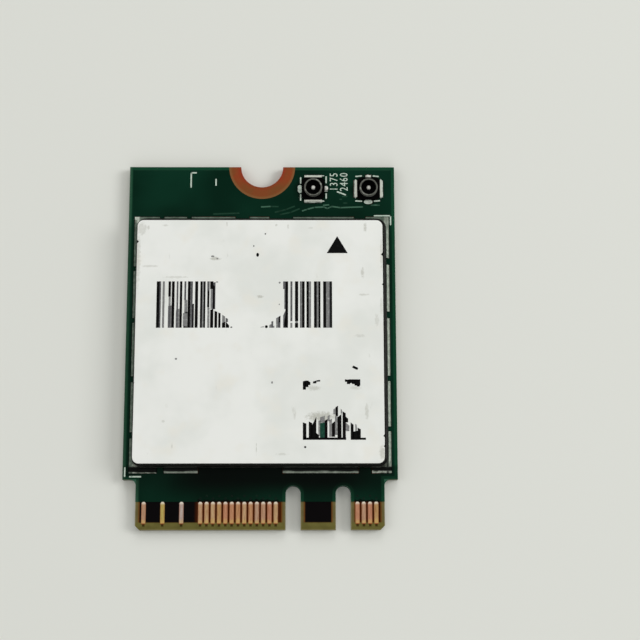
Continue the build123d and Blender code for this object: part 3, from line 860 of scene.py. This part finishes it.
class Stock:
    """Small flat work in one mesh: bars, discs, rings and beads."""

    def __init__(self) -> None:
        """Starts an empty mesh."""
        self.mesh = bmesh.new()

    def bar(self, centre: Sequence[float], size: Sequence[float], turn: float = 0.0, corner: float = 0.0) -> list:
        """Adds a bar.

        Args:
            centre: The middle of its underside.
            size: Its length, width and height.
            turn: Its turn about Z in degrees.
            corner: The radius of its upright edges.

        Returns:
            The bar's vertices.
        """
        x, y, low = centre
        length, width, height = size
        place = (
            Matrix.Translation((x, y, low + height / 2))
            @ Matrix.Rotation(math.radians(turn), 4, "Z")
            @ Matrix.Diagonal((length, width, height, 1.0))
        )
        verts = bmesh.ops.create_cube(self.mesh, size=1.0, matrix=place)["verts"]
        if corner:
            verts = self.round_off([edge for edge in self.edges_at(verts) if self.upright(edge)], corner, 3)
        return verts

    @staticmethod
    def edges_at(verts: list) -> list:
        """The edges that meet at some vertices, each once."""
        return list(dict.fromkeys(edge for vert in verts for edge in vert.link_edges))

    @staticmethod
    def upright(edge: bmesh.types.BMEdge) -> bool:
        """Whether an edge runs along Z."""
        run = edge.verts[1].co - edge.verts[0].co
        return abs(run.z) > 0.9 * run.length

    def round_off(self, edges: list, radius: float, segments: int) -> list:
        """Rounds edges off, and returns the new vertices."""
        return bmesh.ops.bevel(
            self.mesh, geom=edges, offset=radius, segments=segments, profile=0.5, affect="EDGES", material=-1
        )["verts"]

    def strokes(self, run: Run, width: float, height: float, overlap: float, corner: float) -> None:
        """Lays a run of strokes on the board's film.

        Args:
            run: The points that it passes.
            width: The width of the strokes.
            height: Their height.
            overlap: How much longer a stroke is than its run, as a share of the width.
            corner: The radius of its upright edges, as a share of the width.
        """
        for (x0, y0), (x1, y1) in zip(run, run[1:]):
            size = (math.hypot(x1 - x0, y1 - y0) + width * overlap, width, height)
            turn = math.degrees(math.atan2(y1 - y0, x1 - x0))
            self.bar(((x0 + x1) / 2, (y0 + y1) / 2, FLAT_LOW), size, turn, width * corner)

    def disc(self, centre: Sequence[float], radii: Sequence[float], height: float, segments: int = 24) -> None:
        """Adds a disc or an oval.

        Args:
            centre: The middle of its underside.
            radii: Its radius along X and along Y.
            height: Its height.
            segments: How many sides it has.
        """
        x, y, low = centre
        place = Matrix.Translation((x, y, low + height / 2)) @ Matrix.Diagonal((radii[0], radii[1], height, 1.0))
        bmesh.ops.create_cone(
            self.mesh, cap_ends=True, segments=segments, radius1=1.0, radius2=1.0, depth=1.0, matrix=place
        )

    def ring(self, centre: Sequence[float], radii: Sequence[float], width: float, height: float) -> None:
        """Adds a flat oval ring.

        Args:
            centre: The middle of its underside.
            radii: Its outer radius along X and along Y.
            width: The width of its band.
            height: Its height.
        """
        x, y, low = centre
        outer = radii[0]
        before = set(self.mesh.verts)
        place = Matrix.Translation((outer - width / 2, 0, low + height / 2)) @ Matrix.Rotation(math.pi / 2, 4, "X")
        verts = bmesh.ops.create_grid(
            self.mesh, x_segments=1, y_segments=1, size=0.5, matrix=place @ Matrix.Diagonal((width, height, 1.0, 1.0))
        )["verts"]
        start = [*verts, *self.edges_at(verts), *verts[0].link_faces]
        bmesh.ops.spin(
            self.mesh, geom=start, cent=(0, 0, 0), axis=(0, 0, 1), angle=2 * math.pi, steps=32, use_merge=True
        )
        bmesh.ops.transform(
            self.mesh,
            matrix=Matrix.Translation((x, y, 0)) @ Matrix.Diagonal((1.0, radii[1] / outer, 1.0, 1.0)),
            verts=[vert for vert in self.mesh.verts if vert not in before],
        )

    def bead(self, centre: Sequence[float], radii: Sequence[float]) -> None:
        """Adds a low rounded bead, half of it below its centre.

        Args:
            centre: Its centre.
            radii: Its radius along each axis.
        """
        place = Matrix.Translation(centre) @ Matrix.Diagonal((*radii, 1.0))
        bmesh.ops.create_icosphere(self.mesh, subdivisions=2, radius=1.0, matrix=place)

    def wedge(self, verts: list, taller: float, shorter: float) -> None:
        """Slants the far end of a bar along Y, its left corners at one height and its right at another.

        Args:
            verts: The bar's vertices.
            taller: The far end's Y on the left side.
            shorter: The far end's Y on the right side.
        """
        middle_x = sum(vert.co.x for vert in verts) / len(verts)
        middle_y = sum(vert.co.y for vert in verts) / len(verts)
        for vert in verts:
            if vert.co.y > middle_y:
                vert.co.y = taller if vert.co.x < middle_x else shorter

    def piece(self, name: str, finish: Finish, slot: Slot) -> bpy.types.Object:
        """Makes the mesh a piece of the card.

        Args:
            name: The piece's name.
            finish: What it is dressed in.
            slot: The record's material slot; not used.

        Returns:
            The finished piece.
        """
        bmesh.ops.recalc_face_normals(self.mesh, faces=self.mesh.faces)
        bmesh.ops.scale(self.mesh, vec=(METRES,) * 3, verts=self.mesh.verts)
        data = bpy.data.meshes.new(name)
        self.mesh.to_mesh(data)
        self.mesh.free()
        data.materials.append(finish.material())
        made = bpy.data.objects.new(name, data)
        bpy.context.scene.collection.objects.link(made)
        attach(made, BODY)
        log.info("%s: %d faces in %s", name, len(data.polygons), finish.name)
        return made


@dataclass
class Board:
    """The bare board: laminate, film on both sides, screw pad, and what shows through the film."""

    trace_rise: float = 0.012
    trace_width: float = 0.12
    traces: tuple[Run, ...] = (
        (
            (3.35, 11.22), (3.75, 11.36), (4.35, 11.52), (5.15, 11.56),
            (5.42, 11.42), (5.80, 11.60), (6.5, 11.50), (8.35, 11.57),
        ),
        ((5.10, 11.70), (5.55, 11.74)),
        ((9.05, 11.72), (9.75, 11.72)),
        ((-0.05, 11.56), (0.75, 11.60)),
    )
    deep_traces: tuple[Run, ...] = (
        ((0.75, 11.60), (1.35, 11.58)),
        ((1.1, 11.10), (2.0, 11.34), (2.7, 11.62)),
        ((1.5, 10.90), (2.4, 11.10), (3.1, 11.40)),
        ((-4.0, 10.95), (-1.9, 11.02)),
        ((6.68, 12.47), (7.06, 12.47)),
        ((6.46, 12.22), (6.62, 12.22)),
        ((6.78, 11.89), (7.06, 11.89)),
    )
    hole_groups: tuple[tuple[float, int], ...] = ((-4.75, 13), (7.75, 4))
    hole_pitch: float = 0.5
    hole_rows: Pair = (-12.51, -12.31)
    hole_radius: float = 0.09
    hole_band: float = 0.04

    def build(self) -> None:
        """Dresses the board and lays what shows through its film."""
        MASK.dress("solder_mask_top", "solder_mask_bottom")
        LaminateFinish().dress("circuit_board")
        RingCopperFinish().dress("mounting_ring")
        ContactFinish().dress("edge_contacts_top", "edge_contacts_bottom")
        self.lay_traces("film_over_tracks", self.traces, TRACK_FILM)
        self.lay_traces("film_over_deep_tracks", self.deep_traces, FAINT_FILM)
        self.lay_holes()

    def lay_traces(self, name: str, runs: Sequence[Run], film: Finish) -> None:
        """Lays tracks that stand out under the film by the screw pad's end.

        Args:
            name: The piece's name.
            runs: The points of each track.
            film: The finish of the film over them.
        """
        stock = Stock()
        for run in runs:
            stock.strokes(run, self.trace_width, self.trace_rise, 0.6, 0.35)
        stock.piece(name, film, Slot.MASK)

    def lay_holes(self) -> None:
        """Lays the filled holes that end the tracks of the contacts, in two staggered rows."""
        stock = Stock()
        places = [start + step * self.hole_pitch for start, count in self.hole_groups for step in range(count)]
        for number, x in enumerate(places):
            centre = (x, self.hole_rows[number % 2], FLAT_LOW)
            stock.ring(centre, (self.hole_radius, self.hole_radius), self.hole_band, self.trace_rise)
        stock.piece("film_over_holes", HOLE_FILM, Slot.MASK)


@dataclass
class BoardMarks:
    """White marks printed on the film: can corners, receptacle ticks and plain numbers."""

    ink_rise: float = 0.014
    stroke: float = 0.115
    strokes: tuple[Run, ...] = (
        ((-5.50, 14.50), (-5.90, 14.50), (-5.90, 13.28)),
        ((-3.83, 13.92), (-3.83, 13.44)),
        ((9.33, 10.80), (10.66, 10.80), (10.66, 10.05)),
        ((-10.82, -10.07), (-10.82, -10.72)),
        ((-10.40, -10.77), (-9.56, -10.77)),
        ((3.21, 14.06), (3.21, 13.63)),
        ((3.21, 12.59), (3.21, 12.16)),
        ((5.33, 14.15), (5.33, 13.66)),
        ((5.33, 12.68), (5.33, 12.33)),
        ((7.83, 14.20), (8.27, 14.24)),
        ((9.27, 14.24), (9.66, 14.20)),
        ((7.81, 12.08), (8.25, 12.06)),
        ((9.36, 12.06), (9.75, 12.10)),
        ((6.28, 12.86), (6.92, 12.62)),
    )
    ovals: tuple[Oval, ...] = ((3.16, 13.10, 0.18, 0.36), (8.81, 11.99, 0.34, 0.18))
    oval_band: float = 0.08
    numbers: tuple[tuple[str, float, float], ...] = (("1375", 6.28, 12.92), ("2460", 7.12, 12.92))
    number_size: float = 0.66 / 0.7
    number_narrow: float = 0.78
    number_pitch: float = 0.41

    def build(self) -> None:
        """Prints the strokes, the ovals and the numbers."""
        stock = Stock()
        for run in self.strokes:
            stock.strokes(run, self.stroke, self.ink_rise, 1.0, 0.3)
        for x, y, *radii in self.ovals:
            stock.ring((x, y, FLAT_LOW), radii, self.oval_band, self.ink_rise)
        stock.piece("white_board_marks", WHITE_INK, Slot.MASK)
        self.print_numbers()

    def print_numbers(self) -> None:
        """Prints the two plain numbers between the receptacles, read from the right edge."""
        stock = Stock()
        for digits, x, y in self.numbers:
            for place, digit in enumerate(digits):
                self.print_digit(stock, digit, x, y + place * self.number_pitch)
        stock.piece("white_board_numbers", WHITE_INK, Slot.MASK)

    def print_digit(self, stock: Stock, digit: str, x: float, y: float) -> None:
        """Prints one digit, turned a quarter to the left.

        Args:
            stock: The mesh that it joins.
            digit: The digit.
            x: The line that it stands on.
            y: Where it starts.
        """
        curve = bpy.data.curves.new("digit", "FONT")
        curve.body = digit
        curve.size = self.number_size
        curve.extrude = self.ink_rise / 2
        curve.resolution_u = 2
        holder = bpy.data.objects.new("digit", curve)
        bpy.context.scene.collection.objects.link(holder)
        bpy.context.view_layer.update()
        data = bpy.data.meshes.new_from_object(holder)
        turned = Matrix.Translation((x, y, FLAT_LOW + self.ink_rise / 2)) @ Matrix.Rotation(math.pi / 2, 4, "Z")
        data.transform(turned @ Matrix.Diagonal((self.number_narrow, 1.0, 1.0, 1.0)))
        stock.mesh.from_mesh(data)
        bpy.data.objects.remove(holder)
        bpy.data.curves.remove(curve)
        bpy.data.meshes.remove(data)


@dataclass
class ShieldedRadio:
    """The shield can with its lands and solder, and everything that works under it."""

    def build(self) -> None:
        """Dresses the can's metal and the parts that it covers."""
        CanFinish().dress("shield_can")
        LandSolderFinish().dress("shield_lands", "shield_solder")
        LANDS.dress("component_lands")
        CHIP_MOULDING.dress("radio_chip_body", "front_end_chip_bodies", "flash_chip_body")
        LEADS.dress("radio_chip_leads", "front_end_chip_leads", "flash_chip_leads", "crystal_lid")
        LEADS.dress("power_inductor_ends", "diplexer_ends", "capacitor_ends", "resistor_ends")
        CERAMIC.dress("crystal_base", "diplexer_bodies")
        FERRITE.dress("power_inductor_bodies", "resistor_bodies")
        CAPACITOR.dress("capacitor_bodies")


@dataclass(frozen=True)
class InkWork:
    """What one ink has left on the label: torn bars, the torn square code, specks and a dash.

    Attributes:
        name: The piece's name.
        ink: The ink.
        step: How many steps lower than black it stands, so that no two inks share a face.
        whole: The left and the right side of each bar of the full height.
        torn: Left, right, foot, and the upper end's height on the left and on the right, of each other bar.
        specks: The middle and the radii of each speck.
        dashes: The middle, length, width and turn of each dash.
    """

    name: str
    ink: Finish
    step: int = 0
    whole: Run = ()
    torn: tuple[Bar, ...] = ()
    specks: tuple[Oval, ...] = ()
    dashes: tuple[Bar, ...] = ()


BLACK_WORK = InkWork(
    "label_black_print",
    BLACK_INK,
    whole=(
        (-8.40, -8.21), (-7.17, -7.00), (-6.52, -6.38), (-5.88, -5.71), (-5.29, -5.10), (-4.87, -4.76),
        (-4.59, -4.50), (2.02, 2.18), (3.36, 3.52), (3.72, 3.86), (4.33, 4.50), (4.69, 4.80), (5.07, 5.26),
        (5.62, 5.74),
    ),
    torn=(
        (-7.45, -7.30, 3.63, 4.90, 4.90), (-5.50, -5.42, 1.07, 3.00, 3.06), (-4.30, -4.18, 2.74, 4.13, 4.13),
        (-4.08, -3.87, 4.26, 4.90, 4.90), (-4.05, -3.85, 1.07, 2.55, 2.62), (-6.20, -5.92, 1.07, 1.20, 1.18),
        (-3.70, -3.53, 1.07, 2.47, 2.38), (-3.39, -3.26, 1.07, 2.32, 2.26), (-3.09, -2.87, 1.07, 1.50, 1.56),
        (-2.78, -2.56, 1.07, 1.56, 1.26), (-2.40, -2.32, 1.07, 1.16, 1.16), (2.79, 3.00, 1.62, 4.90, 4.90),
        (2.79, 3.00, 1.07, 1.44, 1.46), (1.92, 2.00, 1.07, 1.50, 2.30), (1.50, 1.57, 1.50, 2.00, 2.06),
        (-3.85, -3.75, 2.62, 4.62, 4.50),
        (3.43, 6.82, -7.99, -7.81, -7.81), (7.23, 8.39, -7.99, -7.81, -7.83), (3.43, 3.66, -7.99, -6.60, -6.70),
        (3.90, 4.12, -7.85, -6.52, -6.66), (4.12, 4.45, -7.85, -6.90, -6.16), (4.45, 4.66, -7.85, -7.40, -7.62),
        (5.16, 5.34, -7.85, -6.46, -6.34), (5.74, 5.94, -7.75, -6.70, -6.50), (6.03, 6.18, -6.10, -5.40, -5.26),
        (6.18, 6.45, -7.85, -6.20, -5.94), (6.59, 6.79, -7.85, -5.72, -5.86), (6.79, 6.98, -6.60, -6.10, -6.30),
        (7.23, 7.41, -7.85, -6.60, -6.80), (7.41, 7.78, -7.85, -7.34, -7.26), (7.78, 7.98, -7.85, -7.02, -7.16),
        (3.43, 3.62, -3.97, -3.30, -3.24), (3.62, 3.82, -3.76, -3.24, -3.24), (3.82, 3.98, -3.60, -3.26, -3.36),
        (4.24, 4.46, -3.46, -3.32, -3.24), (4.52, 4.76, -3.32, -3.22, -3.18),
        (6.79, 6.95, -3.34, -3.14, -3.16), (6.95, 7.16, -3.52, -3.16, -3.14), (7.16, 7.36, -3.44, -3.14, -3.14),
        (7.36, 7.56, -3.52, -3.14, -3.14), (7.56, 7.97, -3.64, -3.14, -3.14), (7.76, 7.92, -3.72, -3.60, -3.60),
    ),
    specks=(
        (-0.28, 7.12, 0.11, 0.17), (0.34, 8.88, 0.06, 0.06), (-0.60, 7.86, 0.05, 0.06), (3.59, -8.57, 0.09, 0.08),
        (0.46, 1.16, 0.12, 0.12),
    ),
    dashes=((7.60, -2.20, 0.46, 0.19, -24.0),),
)
GREY_WORK = InkWork(
    "label_grey_print",
    GREY_INK,
    2,
    whole=(
        (-7.92, -7.80), (-4.75, -4.60), (3.25, 3.33), (3.88, 4.04), (4.51, 4.68), (5.28, 5.55),
    ),
    torn=(
        (-7.27, -7.20, 1.07, 2.90, 2.90), (-6.82, -6.58, 1.07, 2.50, 2.66), (-6.24, -5.94, 1.20, 2.26, 2.40),
        (-7.42, -7.30, 2.86, 3.63, 3.63), (-6.14, -5.96, 2.26, 3.35, 3.38), (-4.28, -4.16, 1.07, 2.72, 2.72),
        (2.42, 2.53, 1.07, 1.48, 1.48), (2.82, 2.97, 1.45, 1.62, 1.62), (-3.60, -3.50, 4.80, 4.90, 4.90),
        (-4.04, -3.89, 2.62, 4.24, 4.24), (-3.08, -2.90, 1.54, 2.14, 2.00), (1.27, 1.41, 1.07, 1.86, 1.95),
        (0.72, 0.87, 1.07, 1.28, 1.40), (0.00, 0.22, 1.10, 1.12, 1.20), (1.04, 1.08, 1.07, 1.20, 1.24),
        (4.66, 4.79, -7.70, -6.50, -6.40), (5.53, 5.69, -7.75, -6.42, -6.30), (5.86, 5.97, -5.96, -5.56, -5.46),
        (5.98, 6.14, -7.60, -6.12, -6.06), (6.84, 7.08, -7.30, -6.62, -6.86), (6.44, 6.50, -5.90, -5.50, -5.60),
        (7.60, 7.67, -7.30, -6.72, -6.80), (5.40, 5.52, -6.50, -6.10, -6.00), (4.80, 5.12, -6.62, -6.20, -6.06),
    ),
    specks=(
        (-3.93, 6.99, 0.14, 0.07), (-6.77, -1.47, 0.09, 0.08), (0.94, -3.39, 0.07, 0.10), (-3.55, 6.80, 0.08, 0.05),
        (1.52, 4.80, 0.08, 0.08), (1.50, 3.00, 0.05, 0.05),
    ),
)
WORN_WORK = InkWork(
    "label_worn_print",
    WORN_INK,
    1,
    whole=(
        (-8.19, -8.10), (-6.78, -6.70), (-5.65, -5.53), (5.55, 5.62), (3.20, 3.24),
    ),
    torn=(
        (-7.45, -7.28, 1.07, 2.86, 2.86), (-6.16, -6.06, 3.35, 4.90, 4.90), (-4.31, -4.18, 4.13, 4.90, 4.90),
        (-3.89, -3.70, 2.60, 4.78, 4.84), (1.83, 1.99, 4.26, 4.90, 4.90), (1.93, 2.00, 2.60, 4.24, 4.26),
        (1.84, 1.98, 1.07, 2.10, 2.50), (1.42, 1.57, 1.07, 1.94, 2.06), (0.89, 0.99, 1.07, 1.58, 1.62),
        (-2.80, -2.66, 1.54, 1.88, 1.80), (2.42, 2.53, 1.60, 4.90, 4.90),
    ),
)
GREEN_WORK = InkWork("label_green_print", GREEN_INK, 1, torn=((4.79, 5.14, -7.88, -6.66, -6.60),))


@dataclass
class Label:
    """The label on the can: a sheet with nicked edges, and what is left of its print."""

    centre: Pair = (-0.10, 0.10)
    size: Pair = (20.0, 19.9)
    low: float = 2.10
    thick: float = 0.09
    corner: float = 0.5
    rim: float = 0.03
    nicks: tuple[tuple[int, float, float], ...] = (
        (1, 7.17, 0.15), (1, 4.66, 0.10), (1, -7.68, 0.11), (1, -8.50, 0.09), (-1, 8.23, 0.14), (-1, -3.4, 0.07),
    )
    ink_rise: float = 0.010
    ink_spread: float = 0.025
    ink_step: float = 0.002
    bar_foot: float = 1.07
    bar_top: float = 4.90
    dash_corner: float = 0.05
    speck_sides: int = 10
    arrow: Oval = (6.20, 7.74, 0.98, 0.95)

    @property
    def top(self) -> float:
        """The height of the sheet's face."""
        return self.low + self.thick

    def build(self) -> None:
        """Makes the sheet, then prints each ink and the arrow."""
        self.cut_sheet()
        self.print_work(BLACK_WORK)
        arrow = Stock()
        arrow.disc((*self.arrow[:2], self.top), self.arrow[2:], self.ink_rise, 3)
        arrow.piece("label_arrow", BLACK_INK, Slot.LABEL)
        for work in (GREY_WORK, WORN_WORK, GREEN_WORK):
            self.print_work(work)

    def cut_sheet(self) -> None:
        """Cuts the sheet, with rounded corners, a soft rim and small nicks in two of its edges."""
        stock = Stock()
        stock.bar((*self.centre, self.low), (*self.size, self.thick))
        stock.round_off([edge for edge in stock.mesh.edges if stock.upright(edge)], self.corner, 6)
        for side, at, depth in self.nicks:
            self.cut_nick(stock, side, at, depth)
        rim = [
            edge
            for edge in stock.mesh.edges
            if all(vert.co.z > self.top - 1e-4 for vert in edge.verts)
            and len(edge.link_faces) == 2
            and min(abs(face.normal.z) for face in edge.link_faces) < 0.5
        ]
        stock.round_off(rim, self.rim, 2)
        sheet = stock.piece("label_sheet", LabelFinish(), Slot.LABEL)
        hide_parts("label")

    def cut_nick(self, stock: Stock, side: int, at: float, depth: float) -> None:
        """Pulls a small notch into the sheet's left or right edge.

        Args:
            stock: The sheet's mesh.
            side: 1 for the right edge, -1 for the left.
            at: Where along the edge.
            depth: How deep.
        """
        edge_x = self.centre[0] + side * self.size[0] / 2
        for shift in (-0.9, 0.0, 1.1):
            geom = [*stock.mesh.verts, *stock.mesh.edges, *stock.mesh.faces]
            bmesh.ops.bisect_plane(stock.mesh, geom=geom, plane_co=(0, at + shift * depth, 0), plane_no=(0, 1, 0))
        for vert in stock.mesh.verts:
            if abs(vert.co.y - at) < 1e-4 and abs(vert.co.x - edge_x) < 1e-3:
                vert.co.x -= side * depth

    def print_work(self, work: InkWork) -> None:
        """Prints what one ink has left on the label."""
        stock = Stock()
        whole = [(left, right, self.bar_foot, self.bar_top, self.bar_top) for left, right in work.whole]
        for left, right, foot, top_left, top_right in (*whole, *work.torn):
            top = (top_left + top_right) / 2
            size = (right - left + 2 * self.ink_spread, top - foot, self.ink_rise - work.step * self.ink_step)
            verts = stock.bar(((left + right) / 2, (foot + top) / 2, self.top), size)
            stock.wedge(verts, top_left, top_right)
        for x, y, length, width, turn in work.dashes:
            stock.bar((x, y, self.top), (length, width, self.ink_rise), turn, self.dash_corner)
        for x, y, *radii in work.specks:
            stock.disc((x, y, self.top), radii, self.ink_rise, self.speck_sides)
        stock.piece(work.name, work.ink, Slot.LABEL)


@dataclass
class AntennaReceptacles:
    """The two coaxial receptacles with the solder that holds their feet and tails."""

    feet: tuple[Oval, ...] = (
        (4.34, 14.24, 1.44, 0.13), (4.34, 12.06, 1.44, 0.18), (7.78, 13.13, 0.17, 1.40), (9.88, 13.13, 0.20, 1.40),
    )
    tails: Run = ((5.30, 13.16), (8.80, 14.14))
    tail_radii: Triple = (0.21, 0.21, 0.10)
    tail_lift: float = 0.03
    beads: int = 5
    bead_reach: float = 0.8
    bead_share: float = 0.62
    bead_overlap: float = 0.06
    bead_half: float = 0.55
    bead_rise: float = 0.07
    bead_lift: float = 0.01

    def build(self) -> None:
        """Dresses the receptacles and beads the solder."""
        ShellFinish().dress("antenna_1_shell", "antenna_2_shell")
        PIN_PLATING.dress("antenna_1_pin", "antenna_2_pin")
        BLACK_MOULDING.dress("antenna_1_insulator", "antenna_2_insulator")
        SOLDER.dress("antenna_lands")
        self.bead_solder()

    def bead_solder(self) -> None:
        """Beads the solder along the feet and on the tails."""
        stock = Stock()
        for x, y, length, width in self.feet:
            along_x = length > width
            long, short = max(length, width), min(length, width)
            spread = self.bead_share * long / (self.beads - 1) + self.bead_overlap
            half = short * self.bead_half
            for step in range(self.beads):
                shift = (step / (self.beads - 1) - 0.5) * self.bead_reach * long
                centre = (x + shift * along_x, y + shift * (not along_x), FILM_TOP + self.bead_lift)
                stock.bead(centre, (spread, half, self.bead_rise) if along_x else (half, spread, self.bead_rise))
        stock.piece("antenna_solder", SOLDER, Slot.SOLDER)
        tail = Stock()
        for x, y in self.tails:
            tail.bead((x, y, FILM_TOP + self.tail_lift), self.tail_radii)
        tail.piece("antenna_tail_solder", PIN_PLATING, Slot.SOLDER)


@dataclass
class Lamp:
    """One square soft lamp that points at the card."""

    name: str
    place: Triple
    size: float
    level: float

    def build(self) -> None:
        """Hangs the lamp, with the power that gives its level on a white sheet at the origin."""
        spot = Vector(self.place)
        lamp = bpy.data.lights.new(self.name, "AREA")
        lamp.size = self.size
        lamp.energy = self.level * math.pi**2 * spot.length_squared * spot.length / spot.z
        holder = bpy.data.objects.new(self.name, lamp)
        holder.location = spot
        holder.rotation_euler = spot.to_track_quat("Z", "Y").to_euler()
        bpy.context.scene.collection.objects.link(holder)


@dataclass
class Studio:
    """Pale floor, soft lamps, even room light and the camera at the photograph's angle."""

    floor_colour: Colour = (223, 224, 219)
    floor_half: float = 1.5
    floor_fade: Pair = (45.0, 260.0)
    floor_drop: float = 0.00002
    world_level: float = 0.60
    lamps: tuple[Lamp, ...] = (
        Lamp("key_lamp", (0.46, 0.08, 0.35), 0.26, 0.26),
        Lamp("back_lamp", (0.05, 0.36, 0.30), 0.24, 0.12),
        Lamp("left_lamp", (-0.32, 0.00, 0.34), 0.30, 0.09),
        Lamp("front_lamp", (0.00, -0.34, 0.32), 0.30, 0.07),
    )
    camera_place: Triple = (0.00367, -0.02109, 0.11468)
    camera_turn: tuple[Triple, ...] = (
        (0.999953, 0.000087, -0.009704),
        (-0.002012, 0.980079, -0.198596),
        (0.009493, 0.198606, 0.980033),
    )
    lens: float = 80.04

    def build(self) -> None:
        """Lays the floor, hangs the lamps, lights the room and sets the camera."""
        self.lay_floor()
        self.light_room()
        for lamp in self.lamps:
            lamp.build()
        self.set_camera()
        bpy.context.scene.view_settings.view_transform = "Standard"

    def lay_floor(self) -> None:
        """Lays a wide plain floor just under the card."""
        mesh = bmesh.new()
        place = Matrix.Translation((0, 0, -self.floor_drop))
        bmesh.ops.create_grid(mesh, x_segments=1, y_segments=1, size=self.floor_half, matrix=place)
        data = bpy.data.meshes.new("floor")
        mesh.to_mesh(data)
        mesh.free()
        recipe = Recipe("pale_floor")
        far = recipe.ramp(recipe.distance((0.0, 0.0)), *self.floor_fade)
        hidden = recipe.times(far, self.seen_rays(recipe.tree))
        recipe.paint(
            base_color=recipe.blend(hidden, self.floor_colour, (0, 0, 0)),
            emission_color=self.floor_colour,
            emission_strength=hidden,
            roughness=1.0,
            specular_ior_level=0.0,
        )
        data.materials.append(recipe.material)
        floor = bpy.data.objects.new("floor", data)
        bpy.context.scene.collection.objects.link(floor)

    def light_room(self) -> None:
        """Gives the room an even light, and the pale tone of the floor where it is seen or mirrored."""
        world = bpy.data.worlds.new("room")
        world.use_nodes = True
        tree = world.node_tree
        background = tree.nodes["Background"]
        background.inputs["Color"].default_value = linear(self.floor_colour)
        strength = tree.nodes.new("ShaderNodeMapRange")
        strength.inputs["To Min"].default_value = self.world_level
        strength.inputs["To Max"].default_value = 1.0
        tree.links.new(self.seen_rays(tree), strength.inputs["Value"])
        tree.links.new(strength.outputs["Result"], background.inputs["Strength"])
        bpy.context.scene.world = world

    def seen_rays(self, tree: bpy.types.NodeTree) -> Socket:
        """One for what the camera sees, straight, mirrored or through glass.

        Args:
            tree: The node tree that needs it.

        Returns:
            One on such rays, nothing on the light that falls on the card.
        """
        path = tree.nodes.new("ShaderNodeLightPath")
        seen = path.outputs["Is Camera Ray"]
        for other in ("Is Glossy Ray", "Is Transmission Ray"):
            either = tree.nodes.new("ShaderNodeMath")
            either.operation = "MAXIMUM"
            tree.links.new(seen, either.inputs[0])
            tree.links.new(path.outputs[other], either.inputs[1])
            seen = either.outputs[0]
        return seen

    def set_camera(self) -> None:
        """Sets the camera where the photograph was taken from."""
        camera = bpy.data.cameras.new("camera")
        camera.lens = self.lens
        camera.sensor_width = 36.0
        camera.clip_start = 0.002
        camera.clip_end = 10.0
        camera.dof.use_dof = False
        holder = bpy.data.objects.new("camera", camera)
        holder.matrix_world = Matrix.Translation(self.camera_place) @ Matrix(self.camera_turn).to_4x4()
        bpy.context.scene.collection.objects.link(holder)
        bpy.context.scene.camera = holder


def main() -> None:
    """Builds the card's looks in order: board, marks, shielded radio, label, receptacles, studio."""
    logging.basicConfig(level=logging.INFO, format="%(message)s")
    for part in (Board(), BoardMarks(), ShieldedRadio(), Label(), AntennaReceptacles(), Studio()):
        part.build()
        log.info("%s is finished", type(part).__name__)


if __name__ == "__main__":
    main()
